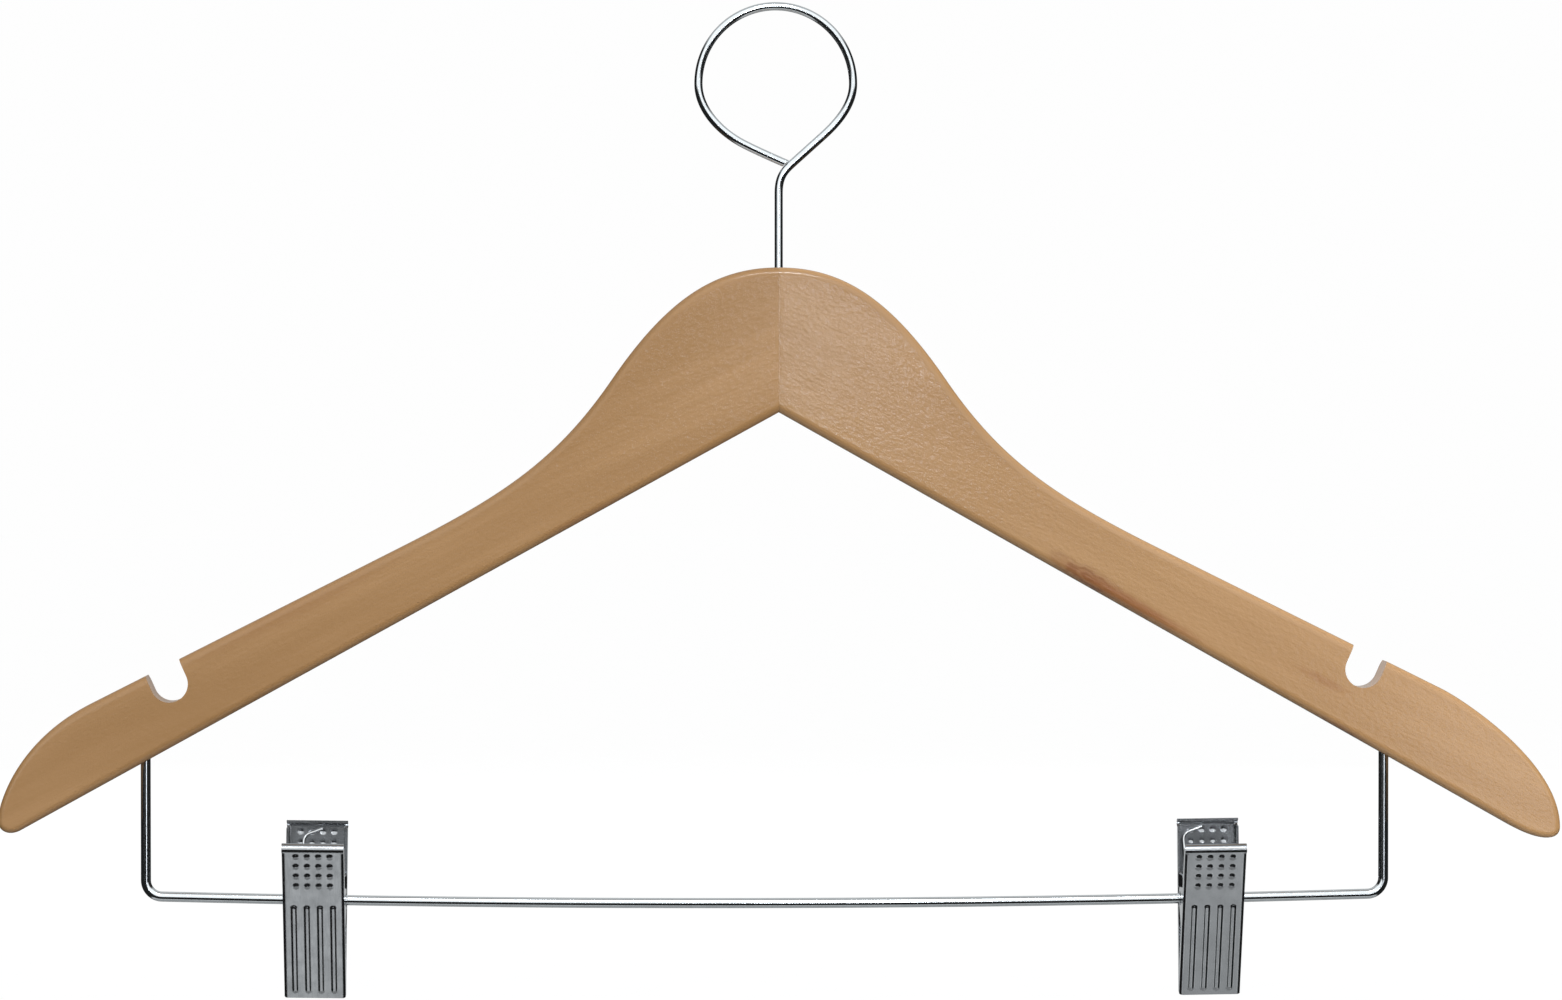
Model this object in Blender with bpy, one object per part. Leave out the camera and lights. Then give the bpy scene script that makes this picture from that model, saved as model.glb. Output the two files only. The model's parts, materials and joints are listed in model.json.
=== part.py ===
"""Flat wooden suit hanger with a closed wire ring, a wire trouser bar and two sprung steel clips.

Lengths are in metres. +X runs to the right along the hanger, +Y goes away from its front, +Z is up.
The origin is the point inside the top of the ring that rests on the rail.
"""

import math

import bmesh
import bpy
from mathutils import Matrix, Vector
from mathutils.geometry import interpolate_bezier

MM = 0.001
FIT_GAP = 0.3 * MM
SHARP_ANGLE = math.radians(35)
WIRE_SIDES = 12
SPRING_WIRE_SIDES = 6
HOLE_SIDES = 20

# Hook: one wire bent into a closed ring above a straight shank, with an upset head at its foot.
# A pair of handles says how far a curve keeps the direction of its start and of its end.
HOOK_WIRE_RADIUS = 1.15 * MM
RING_RADIUS = 21.4 * MM
RING_SHIFT = -0.8 * MM
LEFT_BEND_END = (-9.7 * MM, -36.9 * MM)
LEFT_BEND_SLOPE = math.radians(27)
LEFT_BEND_HANDLES = (7 * MM, 7.5 * MM)
BUTT_END = (1.8 * MM, -42.2 * MM)
BUTT_SLOPE = math.radians(23.5)
BUTT_HANDLES = (4 * MM, 4 * MM)
RIGHT_BEND_END = (12.3 * MM, -34.6 * MM)
RIGHT_BEND_HANDLES = (6 * MM, 5 * MM)
BRANCH_SLOPE = math.radians(42)
BRANCH_LENGTH = 10.9 * MM
NECK_HANDLES = (3.4 * MM, 4.8 * MM)
SHANK_TOP_Z = -50.5 * MM
SHANK_IN_WOOD = 23 * MM
HEAD_RADIUS = 2.1 * MM
HEAD_HEIGHT = 2.4 * MM

# Wooden arms: heights are measured down from the top of the wood, reaches outwards from the seam.
WOOD_TOP_Z = -71.1 * MM
WOOD_THICKNESS = 12 * MM
WOOD_EDGE_RADIUS = 2.2 * MM
TIP_EDGE_RADIUS = 1.6 * MM
SEAM_HEIGHT = 40 * MM
SEAM_GAP_HALF = FIT_GAP / 2
CROWN_END = (46.2 * MM, -31.0 * MM)
CROWN_END_SLOPE = math.radians(55.6)
CROWN_HANDLES = (17 * MM, 28 * MM)
SHOULDER_END_REACH = 105 * MM
SHOULDER_END_DROP = 77.5 * MM
SHOULDER_HANDLES = (27 * MM, 32 * MM)
NOTCH_RADIUS = 5.15 * MM
NOTCH_DEPTH = 10 * MM
NOTCH_LEAN = math.radians(24)
TONGUE_LENGTH = 5 * MM
TONGUE_THICKNESS = 1.6 * MM
TONGUE_OFFSET = 3.6 * MM

# Each half has its own reach, edge angles, tip and fixing places, as bandsawn arms do.
ARMS = {
    "left": {
        "side": -1,
        "top_slope": math.radians(26.8),
        "under_slope": math.radians(28.85),
        "tip": (215.2 * MM, -152.4 * MM),
        "tip_top_reach": 190 * MM,
        "tip_top_handles": (22 * MM, 5 * MM),
        "tip_under_reach": 209 * MM,
        "tip_under_handles": (3.2 * MM, 3.4 * MM),
        "notch_reach": 170 * MM,
        "leg_reach": 175 * MM,
    },
    "right": {
        "side": 1,
        "top_slope": math.radians(26.4),
        "under_slope": math.radians(29.45),
        "tip": (216.8 * MM, -155 * MM),
        "tip_top_reach": 184 * MM,
        "tip_top_handles": (6 * MM, 18 * MM),
        "tip_under_reach": 203 * MM,
        "tip_under_handles": (4.2 * MM, 9 * MM),
        "notch_reach": 163.9 * MM,
        "leg_reach": 168.2 * MM,
    },
}

# Trouser bar: a wire with two upright legs and a gently bowed bottom run.
BAR_WIRE_RADIUS = 1.4 * MM
BAR_LOW_Z = -247.2 * MM
BAR_BOW = 2.2 * MM
BAR_BEND_RADIUS = 4.5 * MM
LEG_IN_WOOD = 12 * MM
LEG_HOLE_CLEARANCE = 0.3 * MM

# Clips: each jaw is one pressing. Along a jaw, s runs up to the handle, and n outwards from the bar.
CLIP_WIDTH = 17 * MM
SHEET = 0.7 * MM
JAW_ANGLE = math.radians(13)
JAW_OUTER_N = 8 * MM
HANDLE_LENGTH = 21.5 * MM
TIP_LENGTH = 27 * MM
FLANGE_DEPTH = 3.3 * MM
SHEET_BEND = 1 * MM
LIP_BEND = 1.6 * MM
LIP_DEPTH = 2.1 * MM
EAR_RADIUS = 3.2 * MM
EAR_SHOULDER_S = 0.95 * EAR_RADIUS
EAR_FOOT = 6.5 * MM
EAR_HOLE_RADIUS = 1.95 * MM
JAW_CLEARANCE = 0.2 * MM
JOGGLE = 1 * MM
EMBOSS_HEIGHT = 0.4 * MM
RIB_SIDE_SLANT = 0.55 * MM
BUMP_RADIUS = 0.95 * MM
BUMP_CREST_RADIUS = 0.43 * MM
BUMP_PITCH = 3.1 * MM
BUMP_ROWS = 4
BUMP_TOP_S = 18.4 * MM
RIB_COUNT = 4
RIB_PITCH = 3.6 * MM
RIB_WIDTH = 1.8 * MM
RIB_SPAN = (-25.4 * MM, 2.9 * MM)
PAD_WIDTH = 13.6 * MM
PAD_THICKNESS = 0.55 * MM
PAD_SPAN = (-26.5 * MM, -19.5 * MM)
SPRING_WIRE_RADIUS = 0.4 * MM
SPRING_COIL_RADIUS = 2.45 * MM
SPRING_PITCH = 0.95 * MM
SPRING_TURNS = 3
SPRING_LEG_S = 17.2 * MM
SPRING_FOOT = 5.4 * MM
SPRING_FOOT_RISE = 2 * MM
SPRING_BEND = 1.2 * MM

# Where each clip stands on the bar, how far it has swung about it, and, in the clip, where its spring's
# coil ends and its back leg's foot begins.
CLIPS = {
    "left": {"x": -128.3 * MM, "swing": math.radians(13), "spring_x": -3.4 * MM, "foot_x": -3.8 * MM},
    "right": {"x": 120.1 * MM, "swing": math.radians(15), "spring_x": -5.6 * MM, "foot_x": -6.9 * MM},
}
CLIP_INNER_X = 14 * MM
CLIP_END_GAP = 1 * MM

COLOURS = {
    "wood": ((0.48, 0.30, 0.16, 1.0), 0.35, 0.0),
    "chrome": ((0.75, 0.76, 0.78, 1.0), 0.12, 1.0),
    "nickel": ((0.50, 0.51, 0.53, 1.0), 0.3, 1.0),
    "spring_steel": ((0.62, 0.62, 0.62, 1.0), 0.25, 1.0),
    "vinyl": ((0.25, 0.25, 0.26, 1.0), 0.6, 0.0),
}


def clear_scene():
    for obj in list(bpy.data.objects):
        bpy.data.objects.remove(obj, do_unlink=True)


def finish_for(kind):
    """The Principled material of this kind, made once."""
    material = bpy.data.materials.get(kind)
    if material:
        return material
    colour, roughness, metallic = COLOURS[kind]
    material = bpy.data.materials.new(kind)
    material.use_nodes = True
    shader = material.node_tree.nodes["Principled BSDF"]
    shader.inputs["Base Color"].default_value = colour
    shader.inputs["Roughness"].default_value = roughness
    shader.inputs["Metallic"].default_value = metallic
    material.diffuse_color = colour
    return material


def add_object(name, bm, kind=None):
    """Turns a bmesh into an object, shaded smooth with its real edges kept sharp."""
    bmesh.ops.recalc_face_normals(bm, faces=bm.faces)
    mesh = bpy.data.meshes.new(name)
    bm.to_mesh(mesh)
    bm.free()
    mesh.shade_smooth()
    mesh.set_sharp_from_angle(angle=SHARP_ANGLE)
    obj = bpy.data.objects.new(name, mesh)
    bpy.context.scene.collection.objects.link(obj)
    if kind:
        mesh.materials.append(finish_for(kind))
    return obj


def add_cutter(name, bm):
    cutter = add_object(name, bm)
    cutter.hide_render = True
    cutter.display_type = "WIRE"
    return cutter


def combine(obj, other, operation):
    modifier = obj.modifiers.new(f"{operation.lower()} {other.name}", "BOOLEAN")
    modifier.operation = operation
    modifier.object = other


def loft(rings):
    """A closed body through rings of matching points, with a flat cap at each end."""
    bm = bmesh.new()
    rows = [[bm.verts.new(point) for point in ring] for ring in rings]
    for row, following in zip(rows, rows[1:]):
        for i in range(len(row)):
            k = (i + 1) % len(row)
            bm.faces.new((row[i], row[k], following[k], following[i]))
    bm.faces.new(rows[0])
    bm.faces.new(rows[-1])
    return bm


def cylinder(start, end, radius, sides):
    start, end = Vector(start), Vector(end)
    axis = end - start
    turn = axis.to_track_quat("Z", "X").to_matrix().to_4x4()
    bm = bmesh.new()
    bmesh.ops.create_cone(
        bm,
        cap_ends=True,
        segments=sides,
        radius1=radius,
        radius2=radius,
        depth=axis.length,
        matrix=Matrix.Translation((start + end) / 2) @ turn,
    )
    return bm


def box(low, high):
    bm = bmesh.new()
    bmesh.ops.create_cube(bm, size=1)
    size = Vector(high) - Vector(low)
    bmesh.ops.scale(bm, vec=size, verts=bm.verts)
    bmesh.ops.translate(bm, vec=(Vector(low) + Vector(high)) / 2, verts=bm.verts)
    return bm


def wire_rings(path, radii, sides):
    """Sections of a round wire along the path, carried along without twist."""
    tangents = []
    for i in range(len(path)):
        before, after = path[max(i - 1, 0)], path[min(i + 1, len(path) - 1)]
        tangents.append((after - before).normalized())
    across = tangents[0].orthogonal().normalized()
    rings = []
    for i, (point, tangent) in enumerate(zip(path, tangents)):
        if i:
            across = tangents[i - 1].rotation_difference(tangent) @ across
        across = (across - tangent * across.dot(tangent)).normalized()
        other = tangent.cross(across)
        ring = []
        for k in range(sides):
            angle = 2 * math.pi * k / sides
            ring.append(point + radii[i] * (math.cos(angle) * across + math.sin(angle) * other))
        rings.append(ring)
    return rings


def wire(path, radius, sides):
    return loft(wire_rings(path, [radius] * len(path), sides))


def bezier(start, start_handle, end_handle, end, count):
    """Points on a cubic curve, its end left out so that stretches can be chained."""
    corners = [Vector((*corner, 0)) for corner in (start, start_handle, end_handle, end)]
    return [point.xy for point in interpolate_bezier(*corners, count + 1)[:-1]]


def heading(angle):
    """Direction in the hanger's plane, its angle counted upwards from +X."""
    return Vector((math.cos(angle), math.sin(angle)))


def ring_path():
    """Centre line of the hook wire, from the butted end round the ring and down the shank."""
    centre = Vector((RING_SHIFT, -math.sqrt((RING_RADIUS - HOOK_WIRE_RADIUS) ** 2 - RING_SHIFT**2)))
    up, across = Vector((0, 1)), Vector((1, 0))
    right = centre + RING_RADIUS * across
    top = centre + RING_RADIUS * up
    left = centre - RING_RADIUS * across
    quarter = 4 / 3 * math.tan(math.pi / 8) * RING_RADIUS
    left_end, butt_end = Vector(LEFT_BEND_END), Vector(BUTT_END)
    left_way, butt_way = heading(-LEFT_BEND_SLOPE), heading(-BUTT_SLOPE)
    right_end, branch_way = Vector(RIGHT_BEND_END), heading(BRANCH_SLOPE)
    branch_foot = right_end - BRANCH_LENGTH * branch_way
    shank_top = Vector((0, SHANK_TOP_Z))
    stretches = (
        (butt_end, -BUTT_HANDLES[1] * butt_way, BUTT_HANDLES[0] * left_way, left_end, 4),
        (left_end, -LEFT_BEND_HANDLES[1] * left_way, -LEFT_BEND_HANDLES[0] * up, left, 6),
        (left, quarter * up, -quarter * across, top, 8),
        (top, quarter * across, quarter * up, right, 8),
        (right, -RIGHT_BEND_HANDLES[0] * up, RIGHT_BEND_HANDLES[1] * branch_way, right_end, 5),
        (right_end, -BRANCH_LENGTH / 3 * branch_way, BRANCH_LENGTH / 3 * branch_way, branch_foot, 2),
        (branch_foot, -NECK_HANDLES[0] * branch_way, NECK_HANDLES[1] * up, shank_top, 5),
    )
    points = []
    for start, leaving, arriving, end, count in stretches:
        points += bezier(start, start + leaving, end + arriving, end, count)
    points.append(shank_top)
    return [Vector((x, 0, z)) for x, z in points]


def slant_butt_end(ring, gap):
    """Slides the wire's end section along the wire, so that it is cut parallel to the branch it meets."""
    x, z = RIGHT_BEND_END
    on_branch = Vector((x, 0, z))
    to_ring = Vector((-math.sin(BRANCH_SLOPE), 0, math.cos(BRANCH_SLOPE)))
    out = Vector((math.cos(BUTT_SLOPE), 0, -math.sin(BUTT_SLOPE)))
    slanted = []
    for point in ring:
        short_by = HOOK_WIRE_RADIUS + gap - (point - on_branch).dot(to_ring)
        slanted.append(point + out * short_by / out.dot(to_ring))
    return slanted


def make_hook():
    path = ring_path()
    foot_z = WOOD_TOP_Z - SHANK_IN_WOOD
    path.append(Vector((0, 0, foot_z + HEAD_HEIGHT + FIT_GAP)))
    radii = [HOOK_WIRE_RADIUS] * len(path)
    path += [Vector((0, 0, foot_z + HEAD_HEIGHT)), Vector((0, 0, foot_z))]
    radii += [HEAD_RADIUS, HEAD_RADIUS]
    rings = wire_rings(path, radii, WIRE_SIDES)
    rings[0] = slant_butt_end(rings[0], FIT_GAP)
    add_object("hook_ring", loft(rings), "chrome")


def top_edge_drop(arm, reach):
    return -SHOULDER_END_DROP - (reach - SHOULDER_END_REACH) * math.tan(arm["top_slope"])


def under_edge_drop(arm, reach):
    return -SEAM_HEIGHT - reach * math.tan(arm["under_slope"])


def arm_outline(arm):
    """The arm seen from the front as (reach, drop): seam top, round the tip, and back to the seam."""
    crown_end = Vector(CROWN_END)
    crown_way = Vector((math.cos(CROWN_END_SLOPE), -math.sin(CROWN_END_SLOPE)))
    top_way = Vector((math.cos(arm["top_slope"]), -math.sin(arm["top_slope"])))
    under_way = Vector((math.cos(arm["under_slope"]), -math.sin(arm["under_slope"])))
    seam_top = Vector((SEAM_GAP_HALF, 0))
    shoulder_end = Vector((SHOULDER_END_REACH, -SHOULDER_END_DROP))
    tip_top = Vector((arm["tip_top_reach"], top_edge_drop(arm, arm["tip_top_reach"])))
    tip = Vector(arm["tip"])
    tip_under = Vector((arm["tip_under_reach"], under_edge_drop(arm, arm["tip_under_reach"])))
    top_out, top_in = arm["tip_top_handles"]
    under_out, under_in = arm["tip_under_handles"]
    points = bezier(
        seam_top,
        seam_top + Vector((CROWN_HANDLES[0], 0)),
        crown_end - CROWN_HANDLES[1] * crown_way,
        crown_end,
        12,
    )
    points += bezier(
        crown_end,
        crown_end + SHOULDER_HANDLES[0] * crown_way,
        shoulder_end - SHOULDER_HANDLES[1] * top_way,
        shoulder_end,
        9,
    )
    points.append(shoulder_end)
    points += bezier(tip_top, tip_top + top_out * top_way, tip + Vector((0, top_in)), tip, 8)
    points += bezier(tip, tip - Vector((0, under_out)), tip_under + under_in * under_way, tip_under, 6)
    points.append(tip_under)
    points.append(Vector((SEAM_GAP_HALF, under_edge_drop(arm, SEAM_GAP_HALF))))
    return points


def inset_vectors(outline):
    """For each point, the move that shifts both of its edges inwards by one unit."""
    moves = []
    count = len(outline)
    for i in range(count):
        before = (outline[i] - outline[i - 1]).normalized()
        after = (outline[(i + 1) % count] - outline[i]).normalized()
        normals = [Vector((edge.y, -edge.x)) for edge in (before, after)]
        if i == 0:
            moves.append(Vector((0, -1 / abs(normals[1].y))))
        elif i == count - 1:
            moves.append(Vector((0, 1 / abs(normals[0].y))))
        else:
            moves.append((normals[0] + normals[1]) / (1 + normals[0].dot(normals[1])))
    return moves


def edge_radius(arm, reach):
    """Round-over radius, smaller towards the tip."""
    start = arm["tip_top_reach"]
    share = min(max((reach - start) / (arm["tip"][0] - start), 0), 1)
    blend = share * share * (3 - 2 * share)
    return WOOD_EDGE_RADIUS + (TIP_EDGE_RADIUS - WOOD_EDGE_RADIUS) * blend


def make_arm_blank(name, arm):
    outline = arm_outline(arm)
    moves = inset_vectors(outline)
    steps = 4
    angles = [math.pi / 2 * k / steps for k in range(steps, -1, -1)]
    rings = []
    for facing, sweep in ((-1, angles), (1, reversed(angles))):
        for angle in sweep:
            ring = []
            for point, move in zip(outline, moves):
                radius = edge_radius(arm, point.x)
                inner = point + move * radius * (1 - math.cos(angle))
                y = facing * (WOOD_THICKNESS / 2 - radius * (1 - math.sin(angle)))
                ring.append(Vector((arm["side"] * inner.x, y, WOOD_TOP_Z + inner.y)))
            rings.append(ring)
    return add_object(name, loft(rings), "wood")


def notch_cutter(name, arm):
    """A round-bottomed slot, open at the top edge of the arm and leaning with it."""
    mouth = Vector((arm["notch_reach"], top_edge_drop(arm, arm["notch_reach"])))
    down = Vector((-math.sin(NOTCH_LEAN), -math.cos(NOTCH_LEAN)))
    across = Vector((-down.y, down.x))
    centre = mouth + (NOTCH_DEPTH - NOTCH_RADIUS) * down
    steps = 10
    outline = [centre - across * NOTCH_RADIUS - down * NOTCH_DEPTH * 2]
    for k in range(steps + 1):
        angle = math.pi * k / steps
        outline.append(centre + NOTCH_RADIUS * (math.sin(angle) * down - math.cos(angle) * across))
    outline.append(centre + across * NOTCH_RADIUS - down * NOTCH_DEPTH * 2)
    rings = []
    for y in (-WOOD_THICKNESS, WOOD_THICKNESS):
        rings.append([Vector((arm["side"] * p.x, y, WOOD_TOP_Z + p.y)) for p in outline])
    return add_cutter(name, loft(rings))


def leg_top_z(arm):
    return WOOD_TOP_Z + under_edge_drop(arm, arm["leg_reach"]) + LEG_IN_WOOD


def leg_hole_cutter(name, arm):
    x = arm["side"] * arm["leg_reach"]
    top = leg_top_z(arm) + FIT_GAP
    bottom = top - 2 * LEG_IN_WOOD
    return add_cutter(
        name, cylinder((x, 0, bottom), (x, 0, top), BAR_WIRE_RADIUS + LEG_HOLE_CLEARANCE, HOLE_SIDES)
    )


def shank_bore_cutter():
    """The bore down the seam for the shank, widening into the pocket that traps its head."""
    foot_z = WOOD_TOP_Z - SHANK_IN_WOOD
    bore = HOOK_WIRE_RADIUS + FIT_GAP
    pocket = HEAD_RADIUS + FIT_GAP
    pocket_top = foot_z + HEAD_HEIGHT + 2 * FIT_GAP
    stations = (
        (WOOD_TOP_Z + HEAD_HEIGHT, bore),
        (pocket_top + FIT_GAP, bore),
        (pocket_top, pocket),
        (foot_z - FIT_GAP, pocket),
    )
    rings = []
    for z, radius in stations:
        turn = [2 * math.pi * k / HOLE_SIDES for k in range(HOLE_SIDES)]
        rings.append([Vector((radius * math.cos(a), radius * math.sin(a), z)) for a in turn])
    return add_cutter("cut_shank_bore", loft(rings))


def tongue_box(facing, clearance):
    """One hidden tongue of the seam joint, or the groove that takes it when clearance is given."""
    root = -TONGUE_LENGTH if clearance == 0 else -SEAM_GAP_HALF
    half = TONGUE_THICKNESS / 2 + clearance
    y = facing * TONGUE_OFFSET
    top = WOOD_TOP_Z - 2 * WOOD_EDGE_RADIUS + clearance
    bottom = WOOD_TOP_Z - SEAM_HEIGHT + 2 * WOOD_EDGE_RADIUS - clearance
    return box((root, y - half, bottom), (TONGUE_LENGTH + clearance, y + half, top))


def make_arms():
    bore = shank_bore_cutter()
    for side, arm in ARMS.items():
        obj = make_arm_blank(f"arm_{side}", arm)
        for facing, position in ((-1, "front"), (1, "back")):
            if side == "left":
                tongue = add_cutter(f"add_tongue_{position}", tongue_box(facing, 0))
                combine(obj, tongue, "UNION")
            else:
                groove = add_cutter(f"cut_groove_{position}", tongue_box(facing, FIT_GAP))
                combine(obj, groove, "DIFFERENCE")
        combine(obj, bore, "DIFFERENCE")
        combine(obj, notch_cutter(f"cut_notch_{side}", arm), "DIFFERENCE")
        combine(obj, leg_hole_cutter(f"cut_leg_hole_{side}", arm), "DIFFERENCE")


def bar_middle_and_half():
    left = -ARMS["left"]["leg_reach"] + BAR_BEND_RADIUS
    right = ARMS["right"]["leg_reach"] - BAR_BEND_RADIUS
    return (left + right) / 2, (right - left) / 2


def bar_z(x):
    """Height of the bar's centre line on its bowed bottom run."""
    middle, half = bar_middle_and_half()
    return BAR_LOW_Z + BAR_BOW * ((x - middle) / half) ** 2


def make_trouser_bar():
    middle, half = bar_middle_and_half()
    run_steps = 16
    bend_steps = 5
    path = []
    for side in (-1, 1):
        arm = ARMS["left" if side < 0 else "right"]
        corner_x = middle + side * half
        corner_z = bar_z(corner_x) + BAR_BEND_RADIUS
        bend = []
        for k in range(bend_steps + 1):
            angle = math.pi / 2 * k / bend_steps
            x = corner_x + side * BAR_BEND_RADIUS * math.cos(angle)
            bend.append(Vector((x, 0, corner_z - BAR_BEND_RADIUS * math.sin(angle))))
        leg = [Vector((side * arm["leg_reach"], 0, leg_top_z(arm)))] + bend
        if side < 0:
            path += leg
            for k in range(1, run_steps):
                x = middle + half * (2 * k / run_steps - 1)
                path.append(Vector((x, 0, bar_z(x))))
        else:
            path += reversed(leg)
    add_object("trouser_bar", wire(path, BAR_WIRE_RADIUS, WIRE_SIDES), "chrome")


def jaw_point(x, n, s):
    """A point of the front jaw in its clip's frame, whose origin is on the bar."""
    y = -(n * math.cos(JAW_ANGLE) + s * math.sin(JAW_ANGLE))
    z = s * math.cos(JAW_ANGLE) - n * math.sin(JAW_ANGLE)
    return Vector((x, y, z))


def flange_depth(s):
    """How far the side flange reaches in from the jaw's outer face: shallow, with an ear at the bar."""
    clear_of_other_jaw = JAW_OUTER_N + s * math.tan(JAW_ANGLE) - JAW_CLEARANCE
    plain = min(FLANGE_DEPTH, clear_of_other_jaw)
    reach = abs(s)
    if reach >= EAR_FOOT:
        return plain
    if reach <= EAR_SHOULDER_S:
        return JAW_OUTER_N + math.sqrt(EAR_RADIUS**2 - reach**2)
    shoulder = JAW_OUTER_N + math.sqrt(EAR_RADIUS**2 - EAR_SHOULDER_S**2)
    return plain + (shoulder - plain) * (EAR_FOOT - reach) / (EAR_FOOT - EAR_SHOULDER_S)


def jaw_section(s, joggled):
    """The pressing's outer face across the jaw at s, from one flange edge to the other."""
    depth = flange_depth(s)
    flange_edge, joggle_end, joggle_start = 1.0, 0.36, 0.22
    half = CLIP_WIDTH / 2
    side = []
    for share in (flange_edge, joggle_end, joggle_start):
        reach_in = SHEET_BEND + share * (depth - SHEET_BEND)
        past_flange = min(max((reach_in - FLANGE_DEPTH) / JOGGLE, 0), 1)
        side.append((half - joggled * JOGGLE * past_flange, reach_in))
    for angle in (0, math.pi / 4, math.pi / 2):
        x = half - SHEET_BEND + SHEET_BEND * math.cos(angle)
        side.append((x, SHEET_BEND - SHEET_BEND * math.sin(angle)))
    outer = [(-x, d) for x, d in side] + [(x, d) for x, d in reversed(side)]
    return [jaw_point(x, JAW_OUTER_N - d, s) for x, d in outer]


def jaw_sheet(joggled):
    """The pressing's outer face: a shallow channel with two ears, and a lip across its top."""
    ear = [0.5 * EAR_RADIUS, 0.8 * EAR_RADIUS, EAR_SHOULDER_S]
    lip_start = HANDLE_LENGTH - LIP_BEND
    below = [-TIP_LENGTH, -0.75 * TIP_LENGTH, -0.5 * TIP_LENGTH, -EAR_FOOT] + [-e for e in reversed(ear)]
    above = ear + [EAR_FOOT, 0.6 * HANDLE_LENGTH, lip_start]
    bm = bmesh.new()
    rows = [[bm.verts.new(p) for p in jaw_section(s, joggled)] for s in below + [0] + above]
    for row, following in zip(rows, rows[1:]):
        for i in range(len(row) - 1):
            bm.faces.new((row[i], row[i + 1], following[i + 1], following[i]))
    middle = len(rows[0]) // 2
    edge = [rows[-1][middle - 1], rows[-1][middle]]
    lip = []
    for angle in (math.pi / 6, math.pi / 3, math.pi / 2):
        s = lip_start + LIP_BEND * math.sin(angle)
        lip.append((LIP_BEND - LIP_BEND * math.cos(angle), s))
    lip.append((LIP_DEPTH, HANDLE_LENGTH))
    half = CLIP_WIDTH / 2 - SHEET_BEND
    for d, s in lip:
        following = [bm.verts.new(jaw_point(x, JAW_OUTER_N - d, s)) for x in (-half, half)]
        bm.faces.new((edge[0], edge[1], following[1], following[0]))
        edge = following
    return bm


def embossing():
    """The ribs of the grip end and the grid of bumps on the handle, raised from the outer face."""
    root_n = JAW_OUTER_N - SHEET / 2
    crest_n = JAW_OUTER_N + EMBOSS_HEIGHT
    bm = bmesh.new()

    def add(rings):
        other = loft(rings)
        mesh = bpy.data.meshes.new("emboss")
        other.to_mesh(mesh)
        other.free()
        bm.from_mesh(mesh)
        bpy.data.meshes.remove(mesh)

    for k in range(RIB_COUNT):
        x = RIB_PITCH * (k - (RIB_COUNT - 1) / 2)
        rings = []
        for n, inset in ((root_n, 0), (crest_n, RIB_SIDE_SLANT)):
            half = RIB_WIDTH / 2 - inset
            low, high = RIB_SPAN[0] + inset, RIB_SPAN[1] - inset
            corners = ((-half, low), (half, low), (half, high), (-half, high))
            rings.append([jaw_point(x + dx, n, s) for dx, s in corners])
        add(rings)
    sides = 8
    for row in range(BUMP_ROWS):
        for column in range(BUMP_ROWS):
            x = BUMP_PITCH * (column - (BUMP_ROWS - 1) / 2)
            s = BUMP_TOP_S - BUMP_PITCH * row
            rings = []
            for n, radius in ((root_n, BUMP_RADIUS), (crest_n, BUMP_CREST_RADIUS)):
                turn = [2 * math.pi * k / sides for k in range(sides)]
                rings.append(
                    [jaw_point(x + radius * math.cos(a), n, s + radius * math.sin(a)) for a in turn]
                )
            add(rings)
    return bm


def place(obj, frame, turned=False):
    """Parents obj to its clip's empty. The back pieces are the front ones turned round."""
    obj.parent = frame
    if turned:
        obj.rotation_euler = (0, 0, math.pi)


def make_jaw(name, frame, joggled, turned):
    jaw = add_object(name, jaw_sheet(joggled), "nickel")
    thicken = jaw.modifiers.new("sheet", "SOLIDIFY")
    thicken.thickness = SHEET
    thicken.offset = -1
    thicken.use_even_offset = True
    emboss = add_cutter(f"add_emboss_{name}", embossing())
    reach = CLIP_WIDTH
    hole = add_cutter(
        f"cut_ears_{name}", cylinder((-reach, 0, 0), (reach, 0, 0), EAR_HOLE_RADIUS, HOLE_SIDES)
    )
    for piece in (jaw, emboss, hole):
        place(piece, frame, turned)
    combine(jaw, hole, "DIFFERENCE")
    combine(jaw, emboss, "UNION")


def make_pad(name, frame, turned):
    """A thin grip pad inside the tip of a jaw."""
    outer_n = JAW_OUTER_N - SHEET - FIT_GAP
    half = PAD_WIDTH / 2
    rings = []
    for n in (outer_n, outer_n - PAD_THICKNESS):
        corners = ((-half, 0), (half, 0), (half, 1), (-half, 1))
        rings.append([jaw_point(x, n, PAD_SPAN[end]) for x, end in corners])
    place(add_object(name, loft(rings), "vinyl"), frame, turned)


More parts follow.
